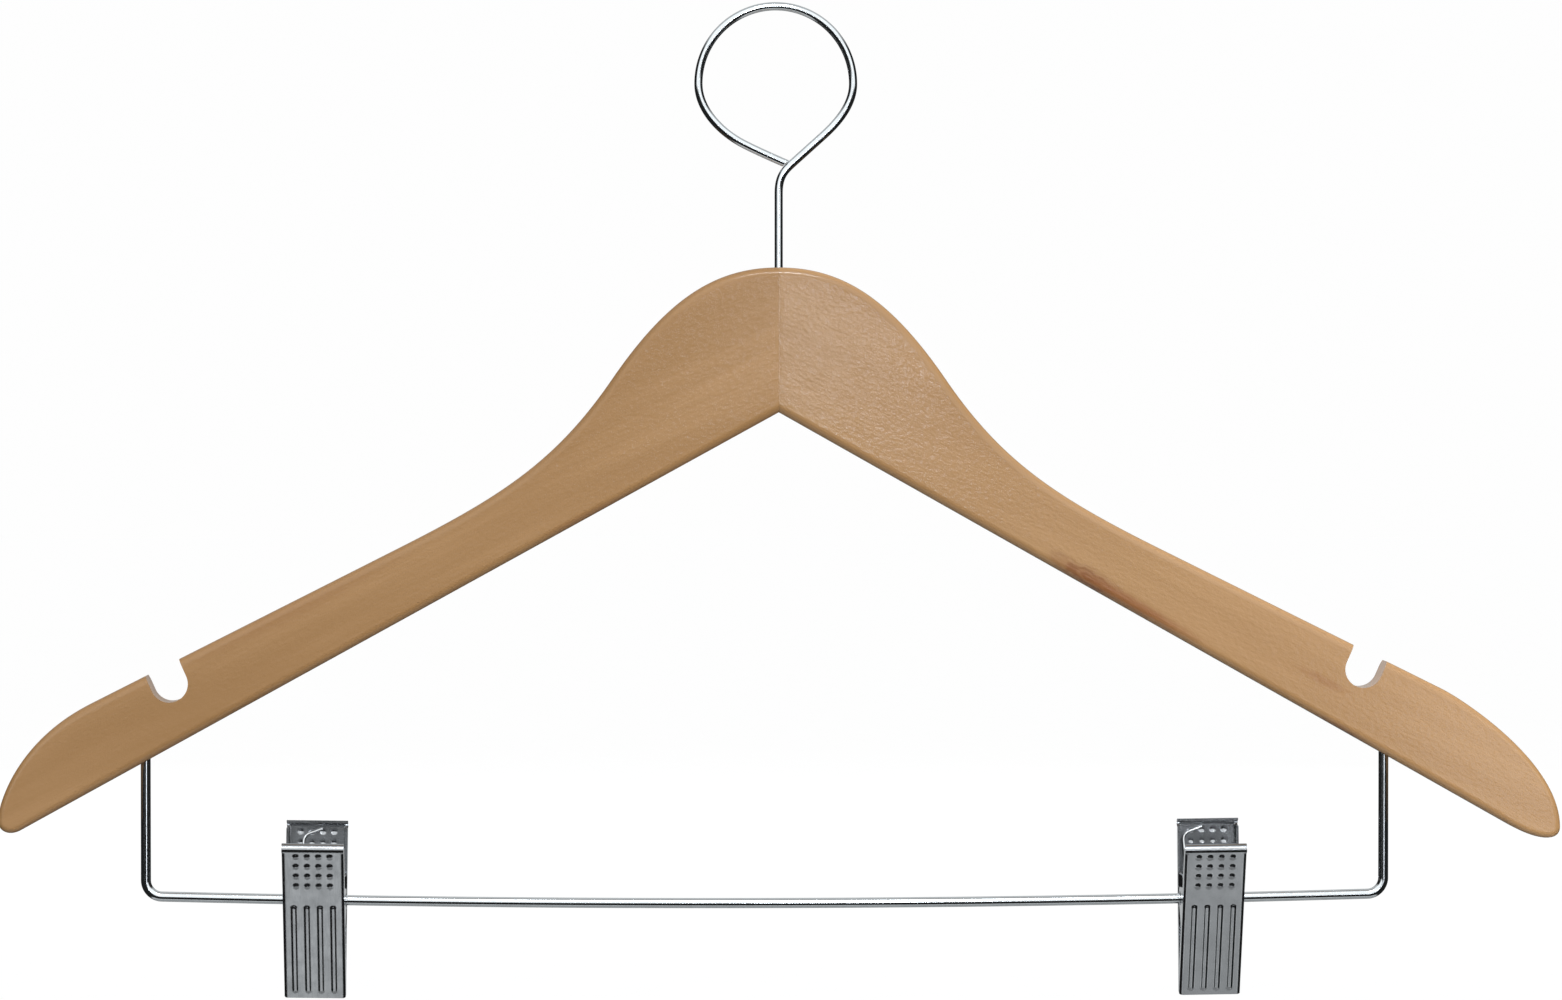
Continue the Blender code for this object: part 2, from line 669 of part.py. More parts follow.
def spring_path(clip):
    """Foot, leg, coil round the bar, leg and foot, in the clip's frame."""
    leg_n = JAW_OUTER_N - SHEET - FIT_GAP - SPRING_WIRE_RADIUS
    bend = jaw_point(0, leg_n, SPRING_LEG_S)
    distance = math.hypot(bend.y, bend.z)
    tangent = math.atan2(bend.z, -bend.y) - math.acos(SPRING_COIL_RADIUS / distance)
    first, last = math.pi - tangent, 2 * math.pi + tangent
    sweep = last - first + 2 * math.pi * SPRING_TURNS
    length = SPRING_PITCH * sweep / (2 * math.pi)
    steps = 12 * (SPRING_TURNS + 1)
    coil = []
    for k in range(steps + 1):
        angle = first + sweep * k / steps
        x = clip["spring_x"] + length * (1 - k / steps)
        coil.append(
            Vector((x, SPRING_COIL_RADIUS * math.cos(angle), SPRING_COIL_RADIUS * math.sin(angle)))
        )
    front_bend = Vector((clip["spring_x"] + length, bend.y, bend.z))
    back_bend = Vector((clip["foot_x"], -bend.y, bend.z))
    front_foot = jaw_point(SPRING_FOOT, 0, SPRING_FOOT_RISE)
    back_foot = Vector((front_foot.x, -front_foot.y, front_foot.z))
    front_leg = SPRING_BEND * (coil[0] - front_bend).normalized()
    back_leg = SPRING_BEND * (coil[-1] - back_bend).normalized()
    after_bend = SPRING_BEND / front_foot.length
    front = [front_bend + front_foot, front_bend + after_bend * front_foot, front_bend + front_leg]
    back = [back_bend + back_leg, back_bend + after_bend * back_foot, back_bend + back_foot]
    return front + coil + back


def make_spring(name, frame, clip):
    spring = wire(spring_path(clip), SPRING_WIRE_RADIUS, SPRING_WIRE_SIDES)
    place(add_object(name, spring, "spring_steel"), frame)


def slide_slope(arm):
    """Slope of the line that a clip follows, the chord of the bowed bar over its travel."""
    inner = arm["side"] * CLIP_INNER_X
    outer_reach = arm["leg_reach"] - BAR_BEND_RADIUS - CLIP_WIDTH / 2 - CLIP_END_GAP
    outer = arm["side"] * outer_reach
    return math.atan((bar_z(outer) - bar_z(inner)) / (outer - inner))


def make_clip(name, clip):
    frame = bpy.data.objects.new(f"{name}_clip_pivot", None)
    bpy.context.scene.collection.objects.link(frame)
    tilt = Matrix.Rotation(-slide_slope(ARMS[name]), 4, "Y")
    turn = tilt @ Matrix.Rotation(clip["swing"], 4, "X")
    frame.matrix_world = Matrix.Translation((clip["x"], 0, bar_z(clip["x"]))) @ turn
    make_jaw(f"{name}_clip_front_jaw", frame, joggled=False, turned=False)
    make_jaw(f"{name}_clip_back_jaw", frame, joggled=True, turned=True)
    make_pad(f"{name}_clip_front_pad", frame, turned=False)
    make_pad(f"{name}_clip_back_pad", frame, turned=True)
    make_spring(f"{name}_clip_torsion_spring", frame, clip)


clear_scene()
make_hook()
make_arms()
make_trouser_bar()
for clip_name, clip_place in CLIPS.items():
    make_clip(clip_name, clip_place)
bpy.context.view_layer.update()
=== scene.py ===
"""Looks of a flat wooden hanger: lacquered wood, plated wire and pressed sheet clips on its CAD frame.

Lengths are in metres. +X runs to the right along the hanger, +Y goes away from its front, +Z is up.
"""

import json
import math

import bmesh
import bpy
from mathutils import Matrix, Vector
from mathutils.geometry import interpolate_bezier


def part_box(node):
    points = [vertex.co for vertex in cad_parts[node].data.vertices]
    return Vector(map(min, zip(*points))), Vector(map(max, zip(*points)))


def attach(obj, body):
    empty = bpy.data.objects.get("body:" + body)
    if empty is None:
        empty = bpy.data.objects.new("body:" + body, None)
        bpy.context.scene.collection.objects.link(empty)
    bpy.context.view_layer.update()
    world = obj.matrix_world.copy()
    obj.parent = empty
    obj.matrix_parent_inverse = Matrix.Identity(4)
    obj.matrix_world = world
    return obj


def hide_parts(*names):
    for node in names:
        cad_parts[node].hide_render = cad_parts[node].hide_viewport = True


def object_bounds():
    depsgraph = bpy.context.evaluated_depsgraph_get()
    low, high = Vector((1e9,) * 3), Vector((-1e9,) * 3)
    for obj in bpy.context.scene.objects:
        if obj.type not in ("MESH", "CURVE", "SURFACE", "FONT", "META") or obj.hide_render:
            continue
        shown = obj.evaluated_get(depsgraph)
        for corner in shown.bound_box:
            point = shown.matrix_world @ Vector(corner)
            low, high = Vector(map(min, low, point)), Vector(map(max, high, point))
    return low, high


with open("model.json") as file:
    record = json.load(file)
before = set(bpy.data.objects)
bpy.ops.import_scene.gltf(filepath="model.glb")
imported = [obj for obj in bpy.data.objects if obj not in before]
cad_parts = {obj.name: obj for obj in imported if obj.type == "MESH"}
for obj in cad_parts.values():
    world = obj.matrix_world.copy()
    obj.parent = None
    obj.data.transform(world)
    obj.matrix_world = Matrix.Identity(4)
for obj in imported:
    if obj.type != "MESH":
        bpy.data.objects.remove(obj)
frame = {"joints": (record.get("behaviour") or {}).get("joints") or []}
cad_low, cad_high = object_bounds()

MM = 0.001
SHARP_ANGLE = math.radians(40)
WIRE_SIDES = 48
SPRING_SIDES = 16
BORE_SIDES = 32

# Hook: the same wire route as the frame's hook, swept finely. A pair of handles says how far a curve
# keeps the direction of its start and of its end.
HOOK_WIRE_RADIUS = 1.15 * MM
RING_RADIUS = 21.4 * MM
RING_SHIFT = -0.8 * MM
LEFT_BEND_END = (-9.7 * MM, -36.9 * MM)
LEFT_BEND_SLOPE = math.radians(27)
LEFT_BEND_HANDLES = (7 * MM, 7.5 * MM)
BUTT_END = (1.8 * MM, -42.2 * MM)
BUTT_SLOPE = math.radians(23.5)
BUTT_HANDLES = (4 * MM, 4 * MM)
BUTT_GAP = 0.05 * MM
BUTT_CHAMFER = 0.15 * MM
RIGHT_BEND_END = (12.3 * MM, -34.6 * MM)
RIGHT_BEND_HANDLES = (6 * MM, 5 * MM)
BRANCH_SLOPE = math.radians(42)
BRANCH_LENGTH = 10.9 * MM
NECK_HANDLES = (3.4 * MM, 4.8 * MM)
SHANK_TOP_Z = -50.5 * MM
HOOK_FOOT_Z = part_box("hook_ring")[0].z
HEAD_RADIUS = 2.1 * MM
HEAD_HEIGHT = 2.4 * MM
HEAD_TAPER_TOP = 1.2 * HEAD_HEIGHT
CUT_END_ROUNDING = 0.25 * MM

# Wooden arms: heights are measured down from the top of the wood, reaches outwards from the seam.
WOOD_TOP_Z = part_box("arm_left")[1].z
WOOD_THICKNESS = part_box("arm_left")[1].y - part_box("arm_left")[0].y
WOOD_EDGE_RADIUS = 2.2 * MM
TIP_EDGE_RADIUS = 1.6 * MM
FACE_MARGIN = 0.15 * MM
SEAM_HEIGHT = 40 * MM
SEAM_GAP_HALF = 0.02 * MM
CROWN_END = (46.2 * MM, -31.0 * MM)
CROWN_END_SLOPE = math.radians(55.6)
CROWN_HANDLES = (17 * MM, 28 * MM)
SHOULDER_END_REACH = 105 * MM
SHOULDER_END_DROP = 77.5 * MM
SHOULDER_HANDLES = (27 * MM, 32 * MM)
NOTCH_RADIUS = 5.15 * MM
NOTCH_DEPTH = 10 * MM
NOTCH_LEAN = math.radians(24)
BORE_CLEARANCE = 0.06 * MM
POCKET_CLEARANCE = 0.3 * MM
CUTTER_OVERSHOOT = 5 * MM

ARMS = {
    "left": {
        "side": -1,
        "top_slope": math.radians(26.8),
        "under_slope": math.radians(28.85),
        "tip": (-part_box("arm_left")[0].x, -152.4 * MM),
        "tip_top_reach": 190 * MM,
        "tip_top_handles": (22 * MM, 5 * MM),
        "tip_under_reach": 209 * MM,
        "tip_under_handles": (3.2 * MM, 3.4 * MM),
        "notch_reach": 170 * MM,
        "leg_reach": 175 * MM,
    },
    "right": {
        "side": 1,
        "top_slope": math.radians(26.4),
        "under_slope": math.radians(29.45),
        "tip": (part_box("arm_right")[1].x, -155 * MM),
        "tip_top_reach": 184 * MM,
        "tip_top_handles": (6 * MM, 18 * MM),
        "tip_under_reach": 203 * MM,
        "tip_under_handles": (4.2 * MM, 9 * MM),
        "notch_reach": 163.9 * MM,
        "leg_reach": 168.2 * MM,
    },
}

# Trouser bar
BAR_WIRE_RADIUS = 1.4 * MM
BAR_LOW_Z = -247.2 * MM
BAR_BOW = 2.2 * MM
BAR_BEND_RADIUS = 4.5 * MM
LEG_IN_WOOD = 12 * MM

# Clips: along a jaw, s runs up to the handle, and n outwards from the bar.
CLIP_WIDTH = 17 * MM
SHEET = 0.7 * MM
JAW_ANGLE = math.radians(13)
JAW_OUTER_N = 8 * MM
HANDLE_LENGTH = 21.5 * MM
TIP_LENGTH = 27 * MM
FLANGE_DEPTH = 3.3 * MM
FLANGE_END_S = 19.4 * MM
FLANGE_CLEARANCE = 0.2 * MM
LIP_FOOT_S = FLANGE_END_S + 0.25 * MM
SHEET_BEND = 1 * MM
LIP_BEND = 1.6 * MM
LIP_DEPTH = 2.1 * MM
EAR_RADIUS = 3.2 * MM
EAR_FOOT = 6.5 * MM
EAR_SHOULDER = 0.95 * EAR_RADIUS
EAR_HOLE_RADIUS = 1.95 * MM
JOGGLE = 1 * MM
RIB_HEIGHT = 0.3 * MM
BUMP_HEIGHT = 0.28 * MM
BUMP_RADIUS = 0.95 * MM
BUMP_SLOPE_SHARE = 0.95
BUMP_PITCH = 3.1 * MM
BUMP_ROWS = 4
BUMP_TOP_S = 18.4 * MM
RIB_COUNT = 4
RIB_PITCH = 3.6 * MM
RIB_WIDTH = 1.8 * MM
RIB_SLOPE_SHARE = 0.7
RIB_SPAN = (-25.4 * MM, 2.9 * MM)
PAD_WIDTH = 13.6 * MM
PAD_THICKNESS = 0.55 * MM
PAD_SPAN = (-26.5 * MM, -19.5 * MM)
INNER_CLEARANCE = 0.3 * MM
SPRING_WIRE_RADIUS = 0.4 * MM
SPRING_COIL_RADIUS = 2.45 * MM
SPRING_PITCH = 0.95 * MM
SPRING_TURNS = 3
SPRING_LEG_S = 17.2 * MM
SPRING_FOOT = 5.4 * MM
SPRING_FOOT_RISE = 2 * MM
SPRING_BEND = 1.8 * MM
SPRING_END_ROUNDING = 0.15 * MM
LEG_OVERLAP = math.radians(50)
LEG_SHRINK = 0.98

CLIPS = {
    "left": {"swing": math.radians(13), "spring_x": -3.4 * MM, "foot_x": -3.8 * MM},
    "right": {"swing": math.radians(15), "spring_x": -5.6 * MM, "foot_x": -6.9 * MM},
}

# Camera: it looks at the middle of the hanger from a little to the left and above.
CAMERA_TARGET = Vector((0, 0, -135.4 * MM))
CAMERA_DISTANCE = 1.5
CAMERA_AZIMUTH = math.radians(-1.5)
CAMERA_ELEVATION = math.radians(1)
CAMERA_LENS_MM = 124.8
CAMERA_SHIFT_X = 0.0015
FLOOR_DROP = 90 * MM
FLOOR_RADIUS = 9
SKY_LIGHT = 1.2
TABLE_LIGHT = 1.08
BACK_SKY_LIGHT = 0.6
DARK_LIGHT = 0.015
STUDIO_TINT = (0.96, 0.99, 1.0, 1)
SEEN_BACKGROUND = (0.99, 0.99, 0.99, 1)
FLOOR_GLOW = 0.97
LAMP_COLOUR = (0.96, 1.0, 1.06)


# ---------------------------------------------------------------- meshes


def add_piece(name, bm):
    """Turns a bmesh into a smooth-shaded object whose real edges stay sharp."""
    bmesh.ops.recalc_face_normals(bm, faces=bm.faces)
    mesh = bpy.data.meshes.new(name)
    bm.to_mesh(mesh)
    bm.free()
    mesh.shade_smooth()
    mesh.set_sharp_from_angle(angle=SHARP_ANGLE)
    obj = bpy.data.objects.new(name, mesh)
    bpy.context.scene.collection.objects.link(obj)
    return obj


def finish_piece(obj, body, slot, material, *nodes):
    """Gives a piece its material and body, and lets it stand for its CAD nodes; the slot is not used."""
    obj.data.materials.clear()
    obj.data.materials.append(material)
    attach(obj, body)
    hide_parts(*nodes)


def apply_modifiers(obj):
    """Replaces the object's mesh by its evaluated one."""
    graph = bpy.context.evaluated_depsgraph_get()
    mesh = bpy.data.meshes.new_from_object(obj.evaluated_get(graph))
    obj.modifiers.clear()
    obj.data = mesh
    mesh.shade_smooth()
    mesh.set_sharp_from_angle(angle=SHARP_ANGLE)


def cut(obj, *cutters):
    """Cuts the cutters out of obj for good and removes them."""
    for cutter in cutters:
        modifier = obj.modifiers.new("cut", "BOOLEAN")
        modifier.operation = "DIFFERENCE"
        modifier.object = cutter
    apply_modifiers(obj)
    for cutter in cutters:
        bpy.data.objects.remove(cutter, do_unlink=True)


def loft(rings):
    """A closed body through rings of matching points, with a flat cap at each end."""
    bm = bmesh.new()
    rows = [[bm.verts.new(point) for point in ring] for ring in rings]
    for row, following in zip(rows, rows[1:]):
        for i in range(len(row)):
            k = (i + 1) % len(row)
            bm.faces.new((row[i], row[k], following[k], following[i]))
    bm.faces.new(rows[0])
    bm.faces.new(rows[-1])
    return bm


def turned(stations, sides):
    """A round body on the Z axis through (height, radius) stations."""
    rings = []
    for z, radius in stations:
        turn = [2 * math.pi * k / sides for k in range(sides)]
        rings.append([Vector((radius * math.cos(a), radius * math.sin(a), z)) for a in turn])
    return loft(rings)


def wire_rings(path, radii, sides):
    """Sections of a round wire along the path, carried along without twist."""
    tangents = []
    for i in range(len(path)):
        before, after = path[max(i - 1, 0)], path[min(i + 1, len(path) - 1)]
        tangents.append((after - before).normalized())
    across = tangents[0].orthogonal().normalized()
    rings = []
    for i, (point, tangent) in enumerate(zip(path, tangents)):
        if i:
            across = tangents[i - 1].rotation_difference(tangent) @ across
        across = (across - tangent * across.dot(tangent)).normalized()
        other = tangent.cross(across)
        ring = []
        for k in range(sides):
            angle = 2 * math.pi * k / sides
            ring.append(point + radii[i] * (math.cos(angle) * across + math.sin(angle) * other))
        rings.append(ring)
    return rings


def wire(path, radii, sides):
    return loft(wire_rings(path, radii, sides))


def with_round_ends(path, radius, rounding):
    """Adds the stations that round a wire's two cut ends; returns the longer path and its radii."""
    steps = 4
    start, end = [], []
    first_way = (path[1] - path[0]).normalized()
    last_way = (path[-1] - path[-2]).normalized()
    for k in range(steps):
        angle = math.pi / 2 * k / steps
        inward = rounding * (1 - math.sin(angle))
        end_radius = radius - rounding * (1 - math.cos(math.pi / 2 - angle))
        start.append((path[0] + first_way * (rounding - inward), end_radius))
        end.append((path[-1] - last_way * (rounding - inward), end_radius))
    middle = [(point, radius) for point in path[1:-1]]
    stations = start + middle + end[::-1]
    return [p for p, _ in stations], [r for _, r in stations]


def bezier(start, start_handle, end_handle, end, count):
    """Points on a cubic curve, its end left out so that stretches can be chained."""
    corners = [Vector((*corner, 0)) for corner in (start, start_handle, end_handle, end)]
    return [point.xy for point in interpolate_bezier(*corners, count + 1)[:-1]]


def heading(angle):
    """Direction in the hanger's plane, its angle counted upwards from the sideways axis."""
    return Vector((math.cos(angle), math.sin(angle)))


# ---------------------------------------------------------------- hook and bar


def ring_path():
    """Centre line of the hook wire, from the butted end round the ring and down the shank."""
    centre = Vector((RING_SHIFT, -math.sqrt((RING_RADIUS - HOOK_WIRE_RADIUS) ** 2 - RING_SHIFT**2)))
    up, across = Vector((0, 1)), Vector((1, 0))
    right = centre + RING_RADIUS * across
    top = centre + RING_RADIUS * up
    left = centre - RING_RADIUS * across
    quarter = 4 / 3 * math.tan(math.pi / 8) * RING_RADIUS
    left_end, butt_end = Vector(LEFT_BEND_END), Vector(BUTT_END)
    left_way, butt_way = heading(-LEFT_BEND_SLOPE), heading(-BUTT_SLOPE)
    right_end, branch_way = Vector(RIGHT_BEND_END), heading(BRANCH_SLOPE)
    branch_foot = right_end - BRANCH_LENGTH * branch_way
    shank_top = Vector((0, SHANK_TOP_Z))
    stretches = (
        (butt_end, -BUTT_HANDLES[1] * butt_way, BUTT_HANDLES[0] * left_way, left_end, 32),
        (left_end, -LEFT_BEND_HANDLES[1] * left_way, -LEFT_BEND_HANDLES[0] * up, left, 56),
        (left, quarter * up, -quarter * across, top, 72),
        (top, quarter * across, quarter * up, right, 72),
        (right, -RIGHT_BEND_HANDLES[0] * up, RIGHT_BEND_HANDLES[1] * branch_way, right_end, 48),
        (right_end, -BRANCH_LENGTH / 3 * branch_way, BRANCH_LENGTH / 3 * branch_way, branch_foot, 16),
        (branch_foot, -NECK_HANDLES[0] * branch_way, NECK_HANDLES[1] * up, shank_top, 56),
    )
    points = []
    for start, leaving, arriving, end, count in stretches:
        points += bezier(start, start + leaving, end + arriving, end, count)
    points.append(shank_top)
    return [Vector((x, 0, z)) for x, z in points]


def slant_butt_end(ring, gap):
    """Slides the wire's end section along the wire, to cut it parallel to the branch it meets."""
    x, z = RIGHT_BEND_END
    on_branch = Vector((x, 0, z))
    to_ring = Vector((-math.sin(BRANCH_SLOPE), 0, math.cos(BRANCH_SLOPE)))
    out = Vector((math.cos(BUTT_SLOPE), 0, -math.sin(BUTT_SLOPE)))
    slanted = []
    for point in ring:
        short_by = HOOK_WIRE_RADIUS + gap - (point - on_branch).dot(to_ring)
        slanted.append(point + out * short_by / out.dot(to_ring))
    return slanted


def make_hook(material):
    """The ring and shank, the butt end slanted with a small chamfer, the foot upset to a head."""
    path = ring_path()
    path.append(Vector((0, 0, HOOK_FOOT_Z + HEAD_TAPER_TOP)))
    radii = [HOOK_WIRE_RADIUS] * len(path)
    path += [Vector((0, 0, HOOK_FOOT_Z + HEAD_HEIGHT)), Vector((0, 0, HOOK_FOOT_Z))]
    radii += [HEAD_RADIUS, HEAD_RADIUS]
    rings = wire_rings(path, radii, WIRE_SIDES)
    centre = path[0]
    shrink = 1 - BUTT_CHAMFER / HOOK_WIRE_RADIUS
    end_face = [centre + shrink * (point - centre) for point in rings[0]]
    rings[0] = slant_butt_end(rings[0], BUTT_GAP + BUTT_CHAMFER)
    rings.insert(0, slant_butt_end(end_face, BUTT_GAP))
    hook = add_piece("hook_wire", loft(rings))
    finish_piece(hook, "hook", "chrome_wire", material, "hook_ring")


def bar_middle_and_half():
    left = -ARMS["left"]["leg_reach"] + BAR_BEND_RADIUS
    right = ARMS["right"]["leg_reach"] - BAR_BEND_RADIUS
    return (left + right) / 2, (right - left) / 2


def bar_z(x):
    """Height of the bar's centre line on its bowed bottom run."""
    middle, half = bar_middle_and_half()
    return BAR_LOW_Z + BAR_BOW * ((x - middle) / half) ** 2


def under_edge_z(arm, reach):
    return WOOD_TOP_Z + under_edge_drop(arm, reach)


def make_bar(material):
    middle, half = bar_middle_and_half()
    run_steps = 96
    bend_steps = 14
    path = []
    for arm in (ARMS["left"], ARMS["right"]):
        side = arm["side"]
        corner_x = middle + side * half
        corner_z = bar_z(corner_x) + BAR_BEND_RADIUS
        leg_x = side * arm["leg_reach"]
        leg = [Vector((leg_x, 0, under_edge_z(arm, arm["leg_reach"]) + LEG_IN_WOOD))]
        for k in range(bend_steps + 1):
            angle = math.pi / 2 * k / bend_steps
            x = corner_x + side * BAR_BEND_RADIUS * math.cos(angle)
            leg.append(Vector((x, 0, corner_z - BAR_BEND_RADIUS * math.sin(angle))))
        if side < 0:
            path += leg
            for k in range(1, run_steps):
                x = middle + half * (2 * k / run_steps - 1)
                path.append(Vector((x, 0, bar_z(x))))
        else:
            path += reversed(leg)
    path, radii = with_round_ends(path, BAR_WIRE_RADIUS, CUT_END_ROUNDING)
    bar = add_piece("bar_wire", wire(path, radii, WIRE_SIDES))
    finish_piece(bar, "frame", "chrome_wire", material, "trouser_bar")


# ---------------------------------------------------------------- wooden arms


def top_edge_drop(arm, reach):
    return -SHOULDER_END_DROP - (reach - SHOULDER_END_REACH) * math.tan(arm["top_slope"])


def under_edge_drop(arm, reach):
    return -SEAM_HEIGHT - reach * math.tan(arm["under_slope"])


def straight(start, end, count):
    """Evenly spaced points from start towards end, the end left out."""
    return [start.lerp(end, k / count) for k in range(count)]


def arm_outline(arm):
    """The arm seen from the front as (reach, drop): seam top, round the tip, and back to the seam."""
    crown_end = Vector(CROWN_END)
    crown_way = heading(-CROWN_END_SLOPE)
    top_way = heading(-arm["top_slope"])
    under_way = heading(-arm["under_slope"])
    seam_top = Vector((SEAM_GAP_HALF, 0))
    shoulder_end = Vector((SHOULDER_END_REACH, -SHOULDER_END_DROP))
    tip_top = Vector((arm["tip_top_reach"], top_edge_drop(arm, arm["tip_top_reach"])))
    tip = Vector(arm["tip"])
    tip_under = Vector((arm["tip_under_reach"], under_edge_drop(arm, arm["tip_under_reach"])))
    seam_foot = Vector((SEAM_GAP_HALF, under_edge_drop(arm, SEAM_GAP_HALF)))
    top_out, top_in = arm["tip_top_handles"]
    under_out, under_in = arm["tip_under_handles"]
    crown_start_handle = seam_top + Vector((CROWN_HANDLES[0], 0))
    crown_end_handle = crown_end - CROWN_HANDLES[1] * crown_way
    points = bezier(seam_top, crown_start_handle, crown_end_handle, crown_end, 40)
    shoulder_start_handle = crown_end + SHOULDER_HANDLES[0] * crown_way
    shoulder_end_handle = shoulder_end - SHOULDER_HANDLES[1] * top_way
    points += bezier(crown_end, shoulder_start_handle, shoulder_end_handle, shoulder_end, 36)
    points += straight(shoulder_end, tip_top, 12)
    points += bezier(tip_top, tip_top + top_out * top_way, tip + Vector((0, top_in)), tip, 36)
    points += bezier(tip, tip - Vector((0, under_out)), tip_under + under_in * under_way, tip_under, 24)
    points += straight(tip_under, seam_foot, 24)
    points.append(seam_foot)
    return points


def inset_vectors(outline):
    """For each point, the move that shifts both of its edges inwards by one unit."""
    moves = []
    count = len(outline)
    for i in range(count):
        before = (outline[i] - outline[i - 1]).normalized()
        after = (outline[(i + 1) % count] - outline[i]).normalized()
        normals = [Vector((edge.y, -edge.x)) for edge in (before, after)]
        if i == 0:
            moves.append(Vector((0, -1 / abs(normals[1].y))))
        elif i == count - 1:
            moves.append(Vector((0, 1 / abs(normals[0].y))))
        else:
            moves.append((normals[0] + normals[1]) / (1 + normals[0].dot(normals[1])))
    return moves


def edge_radius(arm, reach):
    """Round-over radius, smaller towards the tip."""
    start = arm["tip_top_reach"]
    share = min(max((reach - start) / (arm["tip"][0] - start), 0), 1)
    blend = share * share * (3 - 2 * share)
    return WOOD_EDGE_RADIUS + (TIP_EDGE_RADIUS - WOOD_EDGE_RADIUS) * blend


def arm_blank(name, arm):
    """The board with its edges rounded over; a margin ring keeps each flat face truly flat."""
    outline = arm_outline(arm)
    moves = inset_vectors(outline)
    steps = 10
    quarter = [math.pi / 2 * k / steps for k in range(steps, -1, -1)]
    stations = [(-1, None)] + [(-1, a) for a in quarter]
    stations += [(1, a) for a in reversed(quarter)] + [(1, None)]
    rings = []
    for facing, angle in stations:
        ring = []
        for point, move in zip(outline, moves):
            radius = edge_radius(arm, point.x)
            if angle is None:
                inset, below = radius + FACE_MARGIN, 0
            else:
                inset, below = radius * (1 - math.cos(angle)), radius * (1 - math.sin(angle))
            inner = point + move * inset
            y = facing * (WOOD_THICKNESS / 2 - below)
            ring.append(Vector((arm["side"] * inner.x, y, WOOD_TOP_Z + inner.y)))
        rings.append(ring)
    return add_piece(name, loft(rings))


def notch_cutter(arm):
    """A round-bottomed slot, open at the top edge of the arm and leaning with it."""
    mouth = Vector((arm["notch_reach"], top_edge_drop(arm, arm["notch_reach"])))
    down = Vector((-math.sin(NOTCH_LEAN), -math.cos(NOTCH_LEAN)))
    across = Vector((-down.y, down.x))
    centre = mouth + (NOTCH_DEPTH - NOTCH_RADIUS) * down
    steps = 36
    outline = [centre - across * NOTCH_RADIUS - down * NOTCH_DEPTH * 2]
    for k in range(steps + 1):
        angle = math.pi * k / steps
        outline.append(centre + NOTCH_RADIUS * (math.sin(angle) * down - math.cos(angle) * across))
    outline.append(centre + across * NOTCH_RADIUS - down * NOTCH_DEPTH * 2)
    rings = []
    for y in (-WOOD_THICKNESS, WOOD_THICKNESS):
        rings.append([Vector((arm["side"] * p.x, y, WOOD_TOP_Z + p.y)) for p in outline])
    return add_piece("notch_cutter", loft(rings))


def leg_hole_cutter(arm):
    top = under_edge_z(arm, arm["leg_reach"]) + LEG_IN_WOOD + POCKET_CLEARANCE
    radius = BAR_WIRE_RADIUS + BORE_CLEARANCE
    stations = ((top - 2 * LEG_IN_WOOD, radius), (top, radius))
    hole = add_piece("leg_hole_cutter", turned(stations, BORE_SIDES))
    hole.location.x = arm["side"] * arm["leg_reach"]
    return hole


def shank_bore_cutter():
    """The bore down the seam for the shank, widening into the pocket round its head."""
    bore = HOOK_WIRE_RADIUS + BORE_CLEARANCE
    pocket = HEAD_RADIUS + POCKET_CLEARANCE
    pocket_top = HOOK_FOOT_Z + HEAD_HEIGHT + 2 * POCKET_CLEARANCE
    stations = (
        (HOOK_FOOT_Z - POCKET_CLEARANCE, pocket),
        (pocket_top, pocket),
        (pocket_top + POCKET_CLEARANCE, bore),
        (WOOD_TOP_Z + CUTTER_OVERSHOOT, bore),
    )
    return add_piece("shank_bore_cutter", turned(stations, BORE_SIDES))


def make_arm(side, material):
    arm = ARMS[side]
    wood = arm_blank(f"wood_{side}", arm)
    cut(wood, shank_bore_cutter(), notch_cutter(arm), leg_hole_cutter(arm))
    finish_piece(wood, "frame", "lacquered_wood", material, f"arm_{side}")


# ---------------------------------------------------------------- clips


def jaw_point(x, n, s):
    """A point of the front jaw in its clip's frame, whose origin is on the bar."""
    y = -(n * math.cos(JAW_ANGLE) + s * math.sin(JAW_ANGLE))
    z = s * math.cos(JAW_ANGLE) - n * math.sin(JAW_ANGLE)
    return Vector((x, y, z))


def soft_step(share):
    share = min(max(share, 0), 1)
    return share * share * (3 - 2 * share)


def emboss_height(x, s):
    """How far the pressed face stands out at a point: domes on the handle, ribs on the grip end."""
    column = round(x / BUMP_PITCH + (BUMP_ROWS - 1) / 2)
    row = round((BUMP_TOP_S - s) / BUMP_PITCH)
    if 0 <= column < BUMP_ROWS and 0 <= row < BUMP_ROWS:
        bump_x = BUMP_PITCH * (column - (BUMP_ROWS - 1) / 2)
        distance = math.hypot(x - bump_x, s - (BUMP_TOP_S - BUMP_PITCH * row))
        if distance < BUMP_RADIUS:
            return BUMP_HEIGHT * soft_step((BUMP_RADIUS - distance) / (BUMP_SLOPE_SHARE * BUMP_RADIUS))
    rib = min(max(round(x / RIB_PITCH + (RIB_COUNT - 1) / 2), 0), RIB_COUNT - 1)
    rib_x = RIB_PITCH * (rib - (RIB_COUNT - 1) / 2)
    half = RIB_WIDTH / 2
    nearest_s = min(max(s, RIB_SPAN[0] + half), RIB_SPAN[1] - half)
    distance = math.hypot(x - rib_x, s - nearest_s)
    return RIB_HEIGHT * soft_step((half - distance) / (RIB_SLOPE_SHARE * half))


